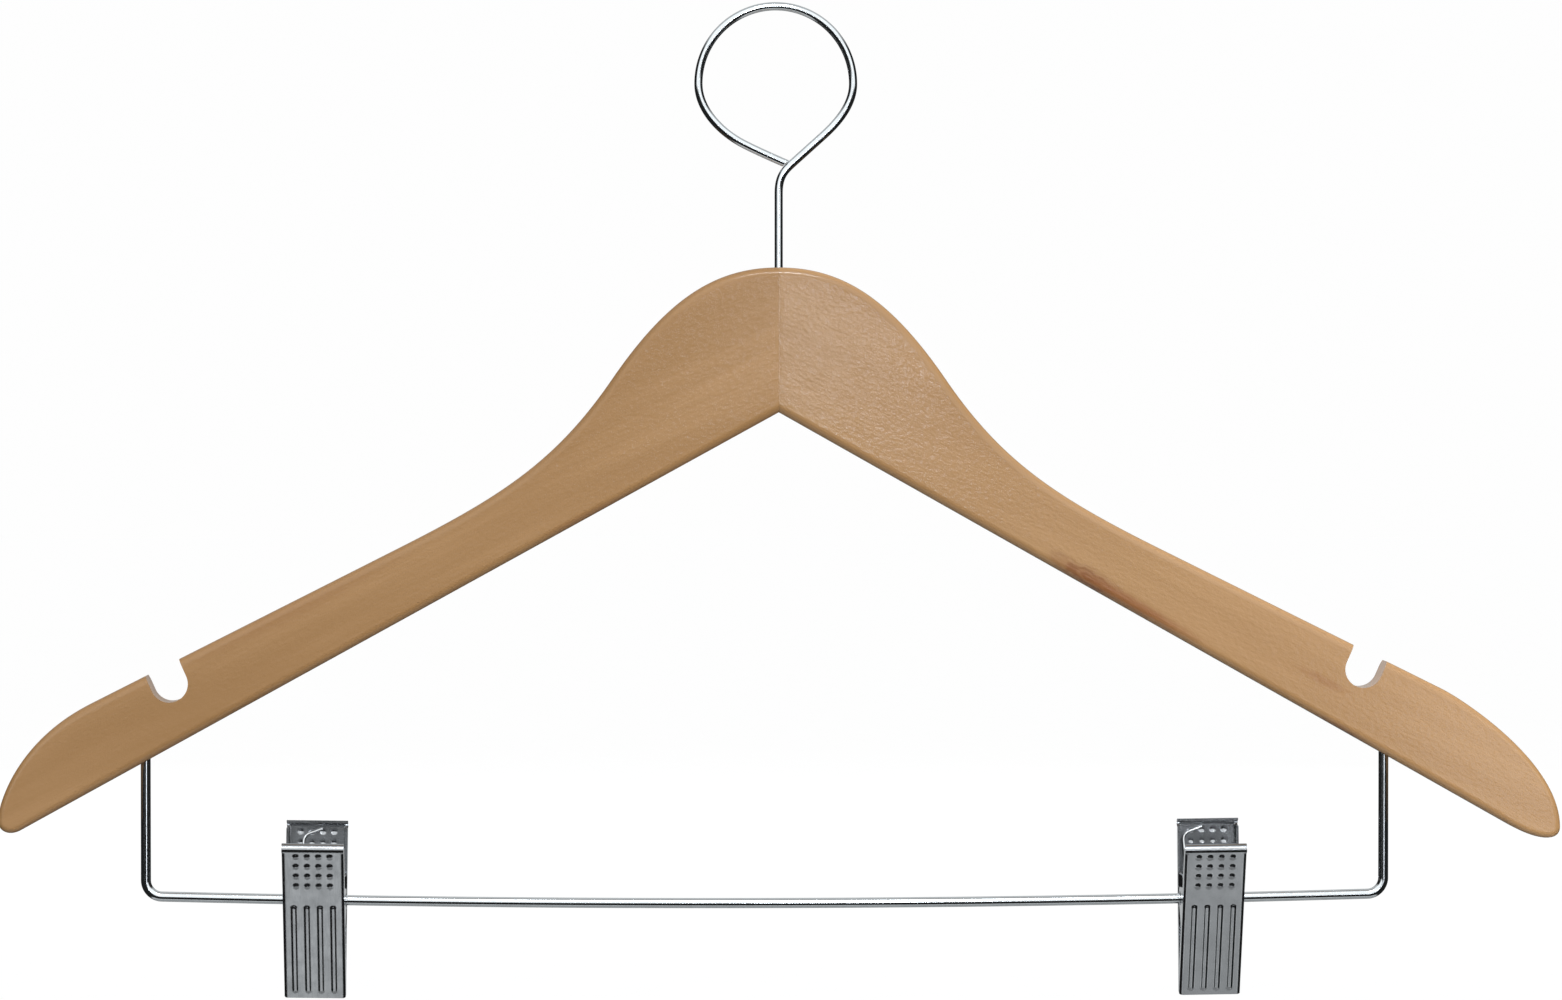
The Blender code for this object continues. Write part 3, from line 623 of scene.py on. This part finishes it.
def flange_depth(s):
    """How far the side flange reaches in from the jaw's outer face: shallow, with an ear at the bar."""
    clear_of_other_jaw = JAW_OUTER_N + s * math.tan(JAW_ANGLE) - FLANGE_CLEARANCE
    plain = min(FLANGE_DEPTH, clear_of_other_jaw)
    reach = abs(s)
    if reach >= EAR_FOOT:
        return plain
    if reach <= EAR_SHOULDER:
        return JAW_OUTER_N + math.sqrt(EAR_RADIUS**2 - reach**2)
    shoulder = JAW_OUTER_N + math.sqrt(EAR_RADIUS**2 - EAR_SHOULDER**2)
    return plain + (shoulder - plain) * (EAR_FOOT - reach) / (EAR_FOOT - EAR_SHOULDER)


def spaced(start, end, pitch):
    """Stations from start towards end about a pitch apart, the end left out."""
    count = max(1, round((end - start) / pitch))
    return [start + (end - start) * k / count for k in range(count)]


def jaw_stations():
    """Rows along the jaw, close together where the face is embossed or the ears curve."""
    fine, medium, loose, coarse = 0.22 * MM, 0.45 * MM, 0.5 * MM, 1.6 * MM
    ribs_low = RIB_SPAN[0] - 0.1 * MM
    rib_ends_high = RIB_SPAN[0] + RIB_WIDTH
    bumps_low = BUMP_TOP_S - BUMP_PITCH * (BUMP_ROWS - 1) - BUMP_RADIUS
    bumps_high = BUMP_TOP_S + BUMP_RADIUS
    stretches = (
        (-TIP_LENGTH, ribs_low, loose),
        (ribs_low, rib_ends_high, fine),
        (rib_ends_high, -EAR_FOOT, coarse),
        (-EAR_FOOT, -EAR_RADIUS, loose),
        (-EAR_RADIUS, EAR_RADIUS, fine),
        (EAR_RADIUS, bumps_low, medium),
        (bumps_low, bumps_high, fine),
    )
    rows = []
    for start, end, pitch in stretches:
        rows += spaced(start, end, pitch)
    return rows + [bumps_high, FLANGE_END_S]


def jaw_row(s, joggled):
    """The pressing's outer face across the jaw at s, from one flange edge to the other."""
    depth = flange_depth(s)
    half = CLIP_WIDTH / 2
    bend_steps = 4
    flange_shares = (1.0, 0.8, 0.6, 0.45, 0.36, 0.28, 0.22, 0.1)
    side = []
    for share in flange_shares:
        reach_in = SHEET_BEND + share * (depth - SHEET_BEND)
        past_flange = soft_step((reach_in - FLANGE_DEPTH) / JOGGLE)
        side.append((half - joggled * JOGGLE * past_flange, reach_in))
    for k in range(bend_steps):
        angle = math.pi / 2 * k / bend_steps
        x = half - SHEET_BEND + SHEET_BEND * math.cos(angle)
        side.append((x, SHEET_BEND - SHEET_BEND * math.sin(angle)))
    face = [(x, -emboss_height(x, s)) for x in face_columns()]
    across = [(-x, d) for x, d in side] + face + [(x, d) for x, d in reversed(side)]
    return [jaw_point(x, JAW_OUTER_N - d, s) for x, d in across]


def face_columns():
    half = CLIP_WIDTH / 2 - SHEET_BEND
    count = 64
    return [half * (2 * k / count - 1) for k in range(count + 1)]


def lip_columns():
    """The lip is as wide as the clip, past the bends of the flanges."""
    half = CLIP_WIDTH / 2
    inner = face_columns()
    edge = [half - SHEET_BEND * share for share in (0, 0.25, 0.5, 0.75)]
    return [-x for x in edge] + inner + list(reversed(edge))


def add_strip(bm, row, following):
    for i in range(len(row) - 1):
        bm.faces.new((row[i], row[i + 1], following[i + 1], following[i]))


def jaw_sheet(joggled):
    """The pressing's outer face: an embossed shallow channel with two ears, and a lip across its top."""
    bm = bmesh.new()
    rows = [[bm.verts.new(p) for p in jaw_row(s, joggled)] for s in jaw_stations()]
    for row, following in zip(rows, rows[1:]):
        add_strip(bm, row, following)
    columns = lip_columns()
    flange_columns = (len(rows[-1]) - len(columns)) // 2
    edge = rows[-1][flange_columns : len(rows[-1]) - flange_columns]
    lip_start = HANDLE_LENGTH - LIP_BEND
    bend_steps = 8
    lip = [(0, LIP_FOOT_S), (0, lip_start)]
    for k in range(1, bend_steps + 1):
        angle = math.pi / 2 * k / bend_steps
        lip.append((LIP_BEND - LIP_BEND * math.cos(angle), lip_start + LIP_BEND * math.sin(angle)))
    lip.append((LIP_DEPTH, HANDLE_LENGTH))
    for d, s in lip:
        following = [bm.verts.new(jaw_point(x, JAW_OUTER_N - d, s)) for x in columns]
        add_strip(bm, edge, following)
        edge = following
    return bm


def clip_matrix(side):
    """The clip's own frame: on the bar, tilted with it and swung about it."""
    joint = next(j for j in frame["joints"] if j["name"] == f"{side}_clip_swing")
    axis = Vector(joint["axis"]).normalized()
    tilt = Matrix.Rotation(-math.atan2(axis.z, axis.x), 4, "Y")
    swing = Matrix.Rotation(CLIPS[side]["swing"], 4, "X")
    return Matrix.Translation(joint["pos_m"]) @ tilt @ swing


def ear_hole_cutter():
    hole = turned(((-CLIP_WIDTH, EAR_HOLE_RADIUS), (CLIP_WIDTH, EAR_HOLE_RADIUS)), WIRE_SIDES)
    bmesh.ops.transform(hole, matrix=Matrix.Rotation(math.pi / 2, 4, "Y"), verts=hole.verts)
    return add_piece("ear_hole_cutter", hole)


def make_jaw(side, which, place, material):
    joggled = which == "back"
    jaw = add_piece(f"{side}_{which}_pressing", jaw_sheet(joggled))
    thicken = jaw.modifiers.new("sheet", "SOLIDIFY")
    thicken.thickness = SHEET
    thicken.offset = -1
    thicken.use_even_offset = True
    cut(jaw, ear_hole_cutter())
    jaw.data.transform(place)
    body = f"{side}_{which}_jaw"
    finish_piece(jaw, body, "nickel_steel", material, f"{side}_clip_{which}_jaw")


def make_pad(side, which, place, material):
    """A thin grip pad with low cross ridges and soft edges."""
    outer_n = JAW_OUTER_N - SHEET - INNER_CLEARANCE
    across, along = 24, 56
    ridge_pitch = 0.9 * MM
    half = PAD_WIDTH / 2
    rim = 0.25 * MM
    rim_share, crown_share, ridge_share = 0.2, 0.55, 0.25
    bm = bmesh.new()
    grids = []
    for inner in (False, True):
        grid = []
        for j in range(along + 1):
            s = PAD_SPAN[0] + (PAD_SPAN[1] - PAD_SPAN[0]) * j / along
            row = []
            for i in range(across + 1):
                x = half * (2 * i / across - 1)
                to_edge = min(half - abs(x), s - PAD_SPAN[0], PAD_SPAN[1] - s)
                crown = soft_step(to_edge / rim)
                ridge = 0.5 + 0.5 * math.cos(2 * math.pi * s / ridge_pitch)
                share = crown_share * crown + ridge_share * crown * ridge + rim_share
                depth = PAD_THICKNESS * share if inner else 0
                row.append(bm.verts.new(jaw_point(x, outer_n - depth, s)))
            grid.append(row)
        for row, following in zip(grid, grid[1:]):
            add_strip(bm, row, following)
        grids.append(grid)
    outer, inner = grids
    for flat, ridged in ((outer[0], inner[0]), (outer[-1], inner[-1])):
        add_strip(bm, flat, ridged)
    for end in (0, -1):
        add_strip(bm, [row[end] for row in outer], [row[end] for row in inner])
    pad = add_piece(f"{side}_{which}_grip", bm)
    pad.data.transform(place)
    finish_piece(pad, f"{side}_{which}_jaw", "grip_pad", material, f"{side}_clip_{which}_pad")


def spring_geometry(clip):
    """The coil's centre line as a function of angle, its end angles, and each leg's bend and foot."""
    leg_n = JAW_OUTER_N - SHEET - INNER_CLEARANCE - SPRING_WIRE_RADIUS
    bend = jaw_point(0, leg_n, SPRING_LEG_S)
    distance = math.hypot(bend.y, bend.z)
    tangent = math.atan2(bend.z, -bend.y) - math.acos(SPRING_COIL_RADIUS / distance)
    first = math.pi - tangent
    last = 2 * math.pi + tangent + 2 * math.pi * SPRING_TURNS
    length = SPRING_PITCH * (last - first) / (2 * math.pi)

    def on_coil(angle):
        share = (angle - first) / (last - first)
        y, z = SPRING_COIL_RADIUS * math.cos(angle), SPRING_COIL_RADIUS * math.sin(angle)
        return Vector((clip["spring_x"] + length * (1 - share), y, z))

    foot = jaw_point(SPRING_FOOT, 0, SPRING_FOOT_RISE)
    back_foot = Vector((foot.x, -foot.y, foot.z))
    front_bend = Vector((clip["spring_x"] + length, bend.y, bend.z))
    back_bend = Vector((clip["foot_x"], -bend.y, bend.z))
    legs = {
        "front": (front_bend, front_bend + foot, first, 1),
        "back": (back_bend, back_bend + back_foot, last, -1),
    }
    return on_coil, first, last, legs


def arc_on(on_coil, start, end, steps_per_turn=40):
    count = max(2, round(abs(end - start) / (2 * math.pi) * steps_per_turn))
    return [on_coil(start + (end - start) * k / count) for k in range(count + 1)]


def rounded_corner(before, corner, after, radius, steps=10):
    """The corner of a route, replaced by a smooth curve that starts and ends a radius away."""
    pull = 0.6
    start = corner + (before - corner).normalized() * radius
    end = corner + (after - corner).normalized() * radius
    return list(interpolate_bezier(start, start.lerp(corner, pull), end.lerp(corner, pull), end, steps))


def make_spring(side, place, material):
    """The coil slides with the clip; each leg goes with its own jaw and overlaps the coil's end."""
    on_coil, first, last, legs = spring_geometry(CLIPS[side])
    coil_path = arc_on(on_coil, first + LEG_OVERLAP / 2, last - LEG_OVERLAP / 2)
    pieces = [("coil", f"{side}_spring", coil_path, SPRING_WIRE_RADIUS)]
    for which, (bend, foot_end, end, inward) in legs.items():
        lead = arc_on(on_coil, end + inward * LEG_OVERLAP, end)
        path = lead + rounded_corner(lead[-1], bend, foot_end, SPRING_BEND) + [foot_end]
        pieces.append((f"{which}_leg", f"{side}_{which}_jaw", path, LEG_SHRINK * SPRING_WIRE_RADIUS))
    for name, body, path, radius in pieces:
        path, radii = with_round_ends(path, radius, SPRING_END_ROUNDING)
        piece = add_piece(f"{side}_spring_{name}", wire(path, radii, SPRING_SIDES))
        piece.data.transform(place)
        finish_piece(piece, body, "spring_steel", material, f"{side}_clip_torsion_spring")


def make_clip(side, sheet, vinyl, spring_wire):
    place = clip_matrix(side)
    half_turn = Matrix.Rotation(math.pi, 4, "Z")
    for which, turn in (("front", Matrix.Identity(4)), ("back", half_turn)):
        make_jaw(side, which, place @ turn, sheet)
        make_pad(side, which, place @ turn, vinyl)
    make_spring(side, place, spring_wire)


# ---------------------------------------------------------------- materials


class Graph:
    """Builds a node tree: add() makes a node with its inputs set or linked."""

    def __init__(self, tree):
        self.tree = tree
        tree.nodes.clear()

    def add(self, kind, inputs=None, **settings):
        node = self.tree.nodes.new(kind)
        for name, value in settings.items():
            setattr(node, name, value)
        for key, value in (inputs or {}).items():
            if isinstance(value, bpy.types.NodeSocket):
                self.tree.links.new(value, node.inputs[key])
            else:
                node.inputs[key].default_value = value
        return node

    def math(self, operation, a, b=0.0):
        return self.add("ShaderNodeMath", {0: a, 1: b}, operation=operation).outputs[0]

    def ramp(self, value, low, high, to_low=0.0, to_high=1.0):
        inputs = {"Value": value, "From Min": low, "From Max": high, "To Min": to_low, "To Max": to_high}
        return self.add("ShaderNodeMapRange", inputs, interpolation_type="SMOOTHSTEP").outputs["Result"]

    def noise(self, vector, scale, detail=2.0, roughness=0.5):
        inputs = {"Vector": vector, "Scale": scale, "Detail": detail, "Roughness": roughness}
        return self.add("ShaderNodeTexNoise", inputs).outputs["Fac"]

    def mapped(self, vector, rotation_y=0.0, scale=(1, 1, 1), location=(0, 0, 0)):
        inputs = {
            "Vector": vector,
            "Location": location,
            "Rotation": (0, rotation_y, 0),
            "Scale": scale,
        }
        return self.add("ShaderNodeMapping", inputs).outputs["Vector"]

    def mix(self, factor, a, b, blend="MIX"):
        node = self.add("ShaderNodeMix", data_type="RGBA", blend_type=blend)
        for socket, value in ((node.inputs[0], factor), (node.inputs[6], a), (node.inputs[7], b)):
            if isinstance(value, bpy.types.NodeSocket):
                self.tree.links.new(value, socket)
            else:
                socket.default_value = value
        return node.outputs[2]


def new_material(name):
    material = bpy.data.materials.new(name)
    material.use_nodes = True
    graph = Graph(material.node_tree)
    place = graph.add("ShaderNodeTexCoord").outputs["Object"]
    shader = graph.add("ShaderNodeBsdfPrincipled")
    output = graph.add("ShaderNodeOutputMaterial")
    graph.tree.links.new(shader.outputs["BSDF"], output.inputs["Surface"])
    return material, graph, place, shader


def bump(graph, height, distance, strength=1.0):
    inputs = {"Height": height, "Distance": distance, "Strength": strength}
    return graph.add("ShaderNodeBump", inputs).outputs["Normal"]


def wood_mark(graph, place, slope, centre, half_length, half_width, ripple):
    """A soft elongated mark along a slope: the distance from its middle, 1 at its wavy rim."""
    shifted = graph.mapped(place, location=(-centre[0], 0, -centre[1]))
    local = graph.mapped(shifted, rotation_y=slope)
    sized = graph.mapped(local, scale=(1 / half_length, 0, 1 / half_width))
    distance = graph.add("ShaderNodeVectorMath", {0: sized}, operation="LENGTH").outputs["Value"]
    wobble = graph.math("MULTIPLY", graph.math("SUBTRACT", graph.noise(local, 260, 2), 0.5), ripple)
    return graph.math("ADD", distance, wobble)


def lacquered_wood(name, look):
    """Pale fine-grained hardwood under satin lacquer, its grain running along the arm; its rounded edges
    get a painted tone in place of their light and shade.
    """
    material, graph, place, shader = new_material(name)
    seed = look["seed"]
    grain = graph.mapped(place, rotation_y=look["grain_slope"], location=(seed, seed, seed))
    # Light and dark grain tones, and an edge tone painted on the rounded edges in place of their light
    # and shade.
    light, dark, edge = look["tones"]
    figure = graph.noise(graph.mapped(grain, scale=(9, 40, 70)), 1, 3, 0.55)
    bands = graph.noise(graph.mapped(grain, scale=(5, 90, 330)), 1, 2, 0.5)
    fibres = graph.noise(graph.mapped(grain, scale=(60, 900, 1500)), 1, 2, 0.6)
    flecks = graph.noise(graph.mapped(grain, scale=(260, 1500, 2300)), 1, 1, 0.5)
    colour = graph.mix(graph.ramp(figure, 0.3, 0.7), dark, light)
    colour = graph.mix(graph.ramp(bands, 0.35, 0.7, 0.0, 0.5), colour, dark)
    colour = graph.mix(graph.ramp(fibres, 0.3, 0.75, 0.0, 0.3), colour, dark)
    colour = graph.mix(graph.ramp(flecks, 0.64, 0.74, 0.0, 0.45), colour, dark)
    depth = graph.math("ABSOLUTE", graph.add("ShaderNodeSeparateXYZ", {0: place}).outputs["Y"])
    flat_depth = WOOD_THICKNESS / 2
    edge_start, edge_full = flat_depth - 0.1 * MM, flat_depth - 1 * MM
    on_edge = graph.ramp(depth, edge_start, edge_full)
    # Painted shade and light: the rounded edges take the edge tone.
    colour = graph.mix(on_edge, colour, edge)
    # Marks: wood streaks and a knot, and on the right arm a dark line of painted shade along the lower
    # edge.
    for slope, centre, half_length, half_width, ripple, strength, tone, rings in look["marks"]:
        distance = wood_mark(graph, place, slope, centre, half_length, half_width, ripple)
        factor = graph.ramp(distance, 0.15, 1.0, strength, 0.0)
        if rings:
            wave = graph.math("SINE", graph.math("MULTIPLY", distance, 20.0))
            factor = graph.math("MULTIPLY", factor, graph.ramp(wave, -1.0, 1.0, 0.55, 1.0))
        colour = graph.mix(factor, colour, tone)
    graph.tree.links.new(colour, shader.inputs["Base Color"])
    peel = graph.noise(graph.mapped(grain, scale=(600, 1050, 1050)), 1, 2, 0.6)
    pores = graph.noise(graph.mapped(grain, scale=(160, 1500, 1900)), 1, 2, 0.5)
    surface = graph.math("ADD", peel, graph.math("MULTIPLY", pores, 0.35))
    surface = graph.math("MULTIPLY", surface, graph.math("SUBTRACT", 1.0, on_edge))
    peel_height = look["peel_height"]
    graph.tree.links.new(bump(graph, surface, peel_height, 0.6), shader.inputs["Normal"])
    graph.tree.links.new(bump(graph, surface, peel_height), shader.inputs["Coat Normal"])
    roughness = graph.ramp(figure, 0.2, 0.8, 0.44, 0.54)
    graph.tree.links.new(roughness, shader.inputs["Roughness"])
    shader.inputs["Specular IOR Level"].default_value = 0.3
    shader.inputs["Coat Weight"].default_value = look["coat_weight"]
    shader.inputs["Coat Roughness"].default_value = look["coat_roughness"]
    return material


def plated_wire(name, colour, low_roughness, high_roughness):
    """Bright plating with faint cloudiness."""
    material, graph, place, shader = new_material(name)
    clouds = graph.noise(place, 220, 3, 0.6)
    cloudy = tuple(0.93 * channel for channel in colour[:3]) + (1,)
    tint = graph.mix(graph.ramp(clouds, 0.3, 0.7), colour, cloudy)
    graph.tree.links.new(tint, shader.inputs["Base Color"])
    roughness = graph.ramp(clouds, 0.3, 0.75, low_roughness, high_roughness)
    graph.tree.links.new(roughness, shader.inputs["Roughness"])
    shader.inputs["Metallic"].default_value = 1.0
    return material


def nickel_sheet():
    """Satin nickel on pressed steel: a little cloudy, with faint rolling lines and soft wear."""
    material, graph, place, shader = new_material("satin_nickel_sheet")
    clouds = graph.noise(place, 140, 3, 0.6)
    light, dark = (0.48, 0.49, 0.505, 1), (0.44, 0.45, 0.465, 1)
    tint = graph.mix(graph.ramp(clouds, 0.3, 0.7), light, dark)
    graph.tree.links.new(tint, shader.inputs["Base Color"])
    roll_lines = graph.noise(graph.mapped(place, scale=(2600, 500, 160)), 1, 2, 0.6)
    cloudy = graph.ramp(clouds, 0.3, 0.75, 0.17, 0.22)
    lined = graph.ramp(roll_lines, 0.3, 0.7, -0.015, 0.015)
    graph.tree.links.new(graph.math("ADD", cloudy, lined), shader.inputs["Roughness"])
    graph.tree.links.new(bump(graph, roll_lines, 0.0006 * MM), shader.inputs["Normal"])
    shader.inputs["Metallic"].default_value = 1.0
    return material


def vinyl():
    material, graph, place, shader = new_material("grey_vinyl")
    mottle = graph.noise(place, 900, 3, 0.6)
    tint = graph.mix(graph.ramp(mottle, 0.3, 0.7), (0.05, 0.05, 0.055, 1), (0.075, 0.075, 0.08, 1))
    graph.tree.links.new(tint, shader.inputs["Base Color"])
    graph.tree.links.new(graph.ramp(mottle, 0.3, 0.7, 0.5, 0.65), shader.inputs["Roughness"])
    graph.tree.links.new(bump(graph, mottle, 0.02 * MM), shader.inputs["Normal"])
    return material


def floor_material():
    """A self-lit pale sweep, so that it keeps one tone out to the horizon."""
    material, graph, place, shader = new_material("pale_floor")
    grain = graph.noise(place, 40, 2, 0.5)
    tint = graph.mix(graph.ramp(grain, 0.3, 0.7), (0.028, 0.028, 0.028, 1), (0.034, 0.034, 0.034, 1))
    graph.tree.links.new(tint, shader.inputs["Base Color"])
    shader.inputs["Roughness"].default_value = 0.9
    shader.inputs["Specular IOR Level"].default_value = 0.0
    shader.inputs["Emission Color"].default_value = (1, 1, 1, 1)
    shader.inputs["Emission Strength"].default_value = FLOOR_GLOW
    return material


def make_wood_materials():
    left_slope, right_slope = ARMS["left"]["top_slope"], -ARMS["right"]["top_slope"]
    right_edge_slope = -ARMS["right"]["under_slope"]
    knot_brown, streak_and_shade_brown = (0.2, 0.072, 0.025, 1), (0.27, 0.105, 0.035, 1)
    left_look = {
        "grain_slope": left_slope,
        # Left tones: light grain, dark grain, and painted shade for the rounded edges.
        "tones": ((0.418, 0.232, 0.098, 1), (0.35, 0.187, 0.071, 1), (0.36, 0.189, 0.071, 1)),
        "marks": (
            (left_slope, (-52 * MM, -139 * MM), 20 * MM, 1.5 * MM, 1.0, 0.25, streak_and_shade_brown, False),
            (left_slope, (-132 * MM, -165 * MM), 40 * MM, 3 * MM, 0.9, 0.15, streak_and_shade_brown, False),
        ),
        "peel_height": 0.06 * MM,
        "coat_weight": 0.45,
        "coat_roughness": 0.13,
        "seed": 0.37,
    }
    right_look = {
        "grain_slope": right_slope,
        # Right tones: light grain, dark grain, and painted light for the rounded edges, lighter and more
        # orange than the face.
        "tones": ((0.435, 0.246, 0.107, 1), (0.37, 0.201, 0.081, 1), (0.48, 0.26, 0.102, 1)),
        "marks": (
            (right_edge_slope, (86 * MM, -157 * MM), 16 * MM, 3.8 * MM, 0.6, 0.95, knot_brown, True),
            (right_edge_slope, (98 * MM, -164 * MM), 30 * MM, 2.6 * MM, 0.35, 0.85, streak_and_shade_brown, False),
            # Painted shade: a dark line along the lower edge of the right arm's outer stretch.
            (right_edge_slope, (156 * MM, -199.5 * MM), 14 * MM, 2 * MM, 0.5, 0.7, streak_and_shade_brown, False),
            (right_slope, (150.6 * MM, -185.2 * MM), 11 * MM, 1.8 * MM, 0.8, 0.4, streak_and_shade_brown, False),
        ),
        "peel_height": 0.06 * MM,
        "coat_weight": 0.8,
        "coat_roughness": 0.13,
        "seed": 1.91,
    }
    left = lacquered_wood("lacquered_wood_left", left_look)
    right = lacquered_wood("lacquered_wood_right", right_look)
    return left, right


# ---------------------------------------------------------------- studio


def make_floor():
    """Only the camera sees the floor; the metal reflects the studio that the world describes."""
    bm = bmesh.new()
    bmesh.ops.create_circle(bm, cap_ends=True, segments=96, radius=FLOOR_RADIUS)
    floor = add_piece("floor", bm)
    floor.location.z = cad_low.z - FLOOR_DROP
    floor.data.materials.append(floor_material())
    floor.visible_glossy = False
    floor.visible_diffuse = False


def make_world():
    """Pale to the eye. To the object: a bright front, a pale table, and pale patches straight
    behind and up behind, with dark in between."""
    world = bpy.data.worlds.new("studio")
    bpy.context.scene.world = world
    world.use_nodes = True
    graph = Graph(world.node_tree)
    way = graph.add("ShaderNodeTexCoord").outputs["Generated"]
    parts = graph.add("ShaderNodeSeparateXYZ", {0: way}).outputs
    sideways = graph.math("ABSOLUTE", parts["X"])
    sky = graph.ramp(parts["Z"], -0.04, 0.05)
    for share in (
        graph.ramp(parts["Y"], 0.05, -0.25),
        graph.ramp(sideways, 0.85, 0.68),
        graph.ramp(parts["Z"], 0.82, 0.97, 1.0, 0.7),
    ):
        sky = graph.math("MULTIPLY", sky, share)
    table = graph.ramp(parts["Z"], -0.77, -0.845)
    table = graph.math("MULTIPLY", table, graph.ramp(sideways, 0.6, 0.4))
    table = graph.math("MULTIPLY", table, graph.ramp(parts["Z"], -0.845, -0.885, 1.0, 0.3))
    back_sky = graph.ramp(parts["Z"], 0.45, 0.6)
    back_sky = graph.math("MULTIPLY", back_sky, graph.ramp(parts["Y"], -0.05, 0.15))
    back_sky = graph.math("MAXIMUM", back_sky, graph.ramp(parts["Y"], 0.86, 0.95))
    light = graph.math("MULTIPLY", sky, SKY_LIGHT)
    light = graph.math("ADD", light, graph.math("MULTIPLY", back_sky, BACK_SKY_LIGHT))
    light = graph.math("ADD", light, graph.math("MULTIPLY", table, TABLE_LIGHT))
    light = graph.math("ADD", light, DARK_LIGHT)
    studio = graph.add("ShaderNodeCombineColor", {"Red": light, "Green": light, "Blue": light})
    tinted = graph.mix(1.0, studio.outputs["Color"], STUDIO_TINT, "MULTIPLY")
    seen = graph.add("ShaderNodeLightPath").outputs["Is Camera Ray"]
    shown = graph.mix(seen, tinted, SEEN_BACKGROUND)
    background = graph.add("ShaderNodeBackground", {"Color": shown, "Strength": 1.0})
    output = graph.add("ShaderNodeOutputWorld")
    graph.tree.links.new(background.outputs["Background"], output.inputs["Surface"])


def add_softbox(name, place, target, width, height, watts, in_reflections=True):
    light = bpy.data.lights.new(name, "AREA")
    light.color = LAMP_COLOUR
    light.shape = "RECTANGLE"
    light.size = width
    light.size_y = height
    light.energy = watts
    lamp = bpy.data.objects.new(name, light)
    bpy.context.scene.collection.objects.link(lamp)
    lamp.location = place
    lamp.rotation_euler = (Vector(target) - Vector(place)).to_track_quat("-Z", "Y").to_euler()
    lamp.visible_camera = False
    lamp.visible_glossy = in_reflections


def make_lights():
    middle = (0, 0, -0.14)
    add_softbox("left_fill", (-0.7, -0.9, -0.1), middle, 0.4, 0.4, 2, False)
    add_softbox("right_fill", (0.45, -0.35, -0.1), (0.2, 0, -0.2), 0.15, 0.15, 1.2, False)
    add_softbox("sheen", (0.1, -1.95, -0.03), middle, 0.1, 0.1, 0.5)
    add_softbox("tip_sheen", (0.55, -1.95, -0.34), middle, 0.25, 0.25, 0.6)
    add_softbox("crown", (0.02, -0.93, 0.77), (0, 0, -0.07), 0.4, 0.25, 5)
    add_softbox("below", (0.0, -0.5, -1.2), middle, 0.8, 0.8, 5, False)
    add_softbox("back_left", (-1.0, 2.0, 0.1), middle, 1.0, 1.0, 18, False)
    add_softbox("back_right", (1.0, 2.0, 0.1), middle, 1.0, 1.0, 18, False)


def make_camera():
    data = bpy.data.cameras.new("camera")
    data.lens = CAMERA_LENS_MM
    data.shift_x = CAMERA_SHIFT_X
    camera = bpy.data.objects.new("camera", data)
    bpy.context.scene.collection.objects.link(camera)
    level = math.cos(CAMERA_ELEVATION)
    back = Vector(
        (
            math.sin(CAMERA_AZIMUTH) * level,
            -math.cos(CAMERA_AZIMUTH) * level,
            math.sin(CAMERA_ELEVATION),
        )
    )
    camera.location = CAMERA_TARGET + CAMERA_DISTANCE * back
    camera.rotation_euler = (-back).to_track_quat("-Z", "Y").to_euler()
    bpy.context.scene.camera = camera


make_camera()
make_floor()
make_world()
make_lights()
bpy.context.scene.view_settings.view_transform = "Standard"

chrome = plated_wire("chrome_wire", (0.80, 0.83, 0.85, 1), 0.1, 0.11)
spring_wire = plated_wire("spring_wire", (0.82, 0.83, 0.84, 1), 0.16, 0.2)
wood_left, wood_right = make_wood_materials()
make_hook(chrome)
make_bar(chrome)
make_arm("left", wood_left)
make_arm("right", wood_right)
sheet_finish = nickel_sheet()
pad_finish = vinyl()
for clip_side in CLIPS:
    make_clip(clip_side, sheet_finish, pad_finish, spring_wire)
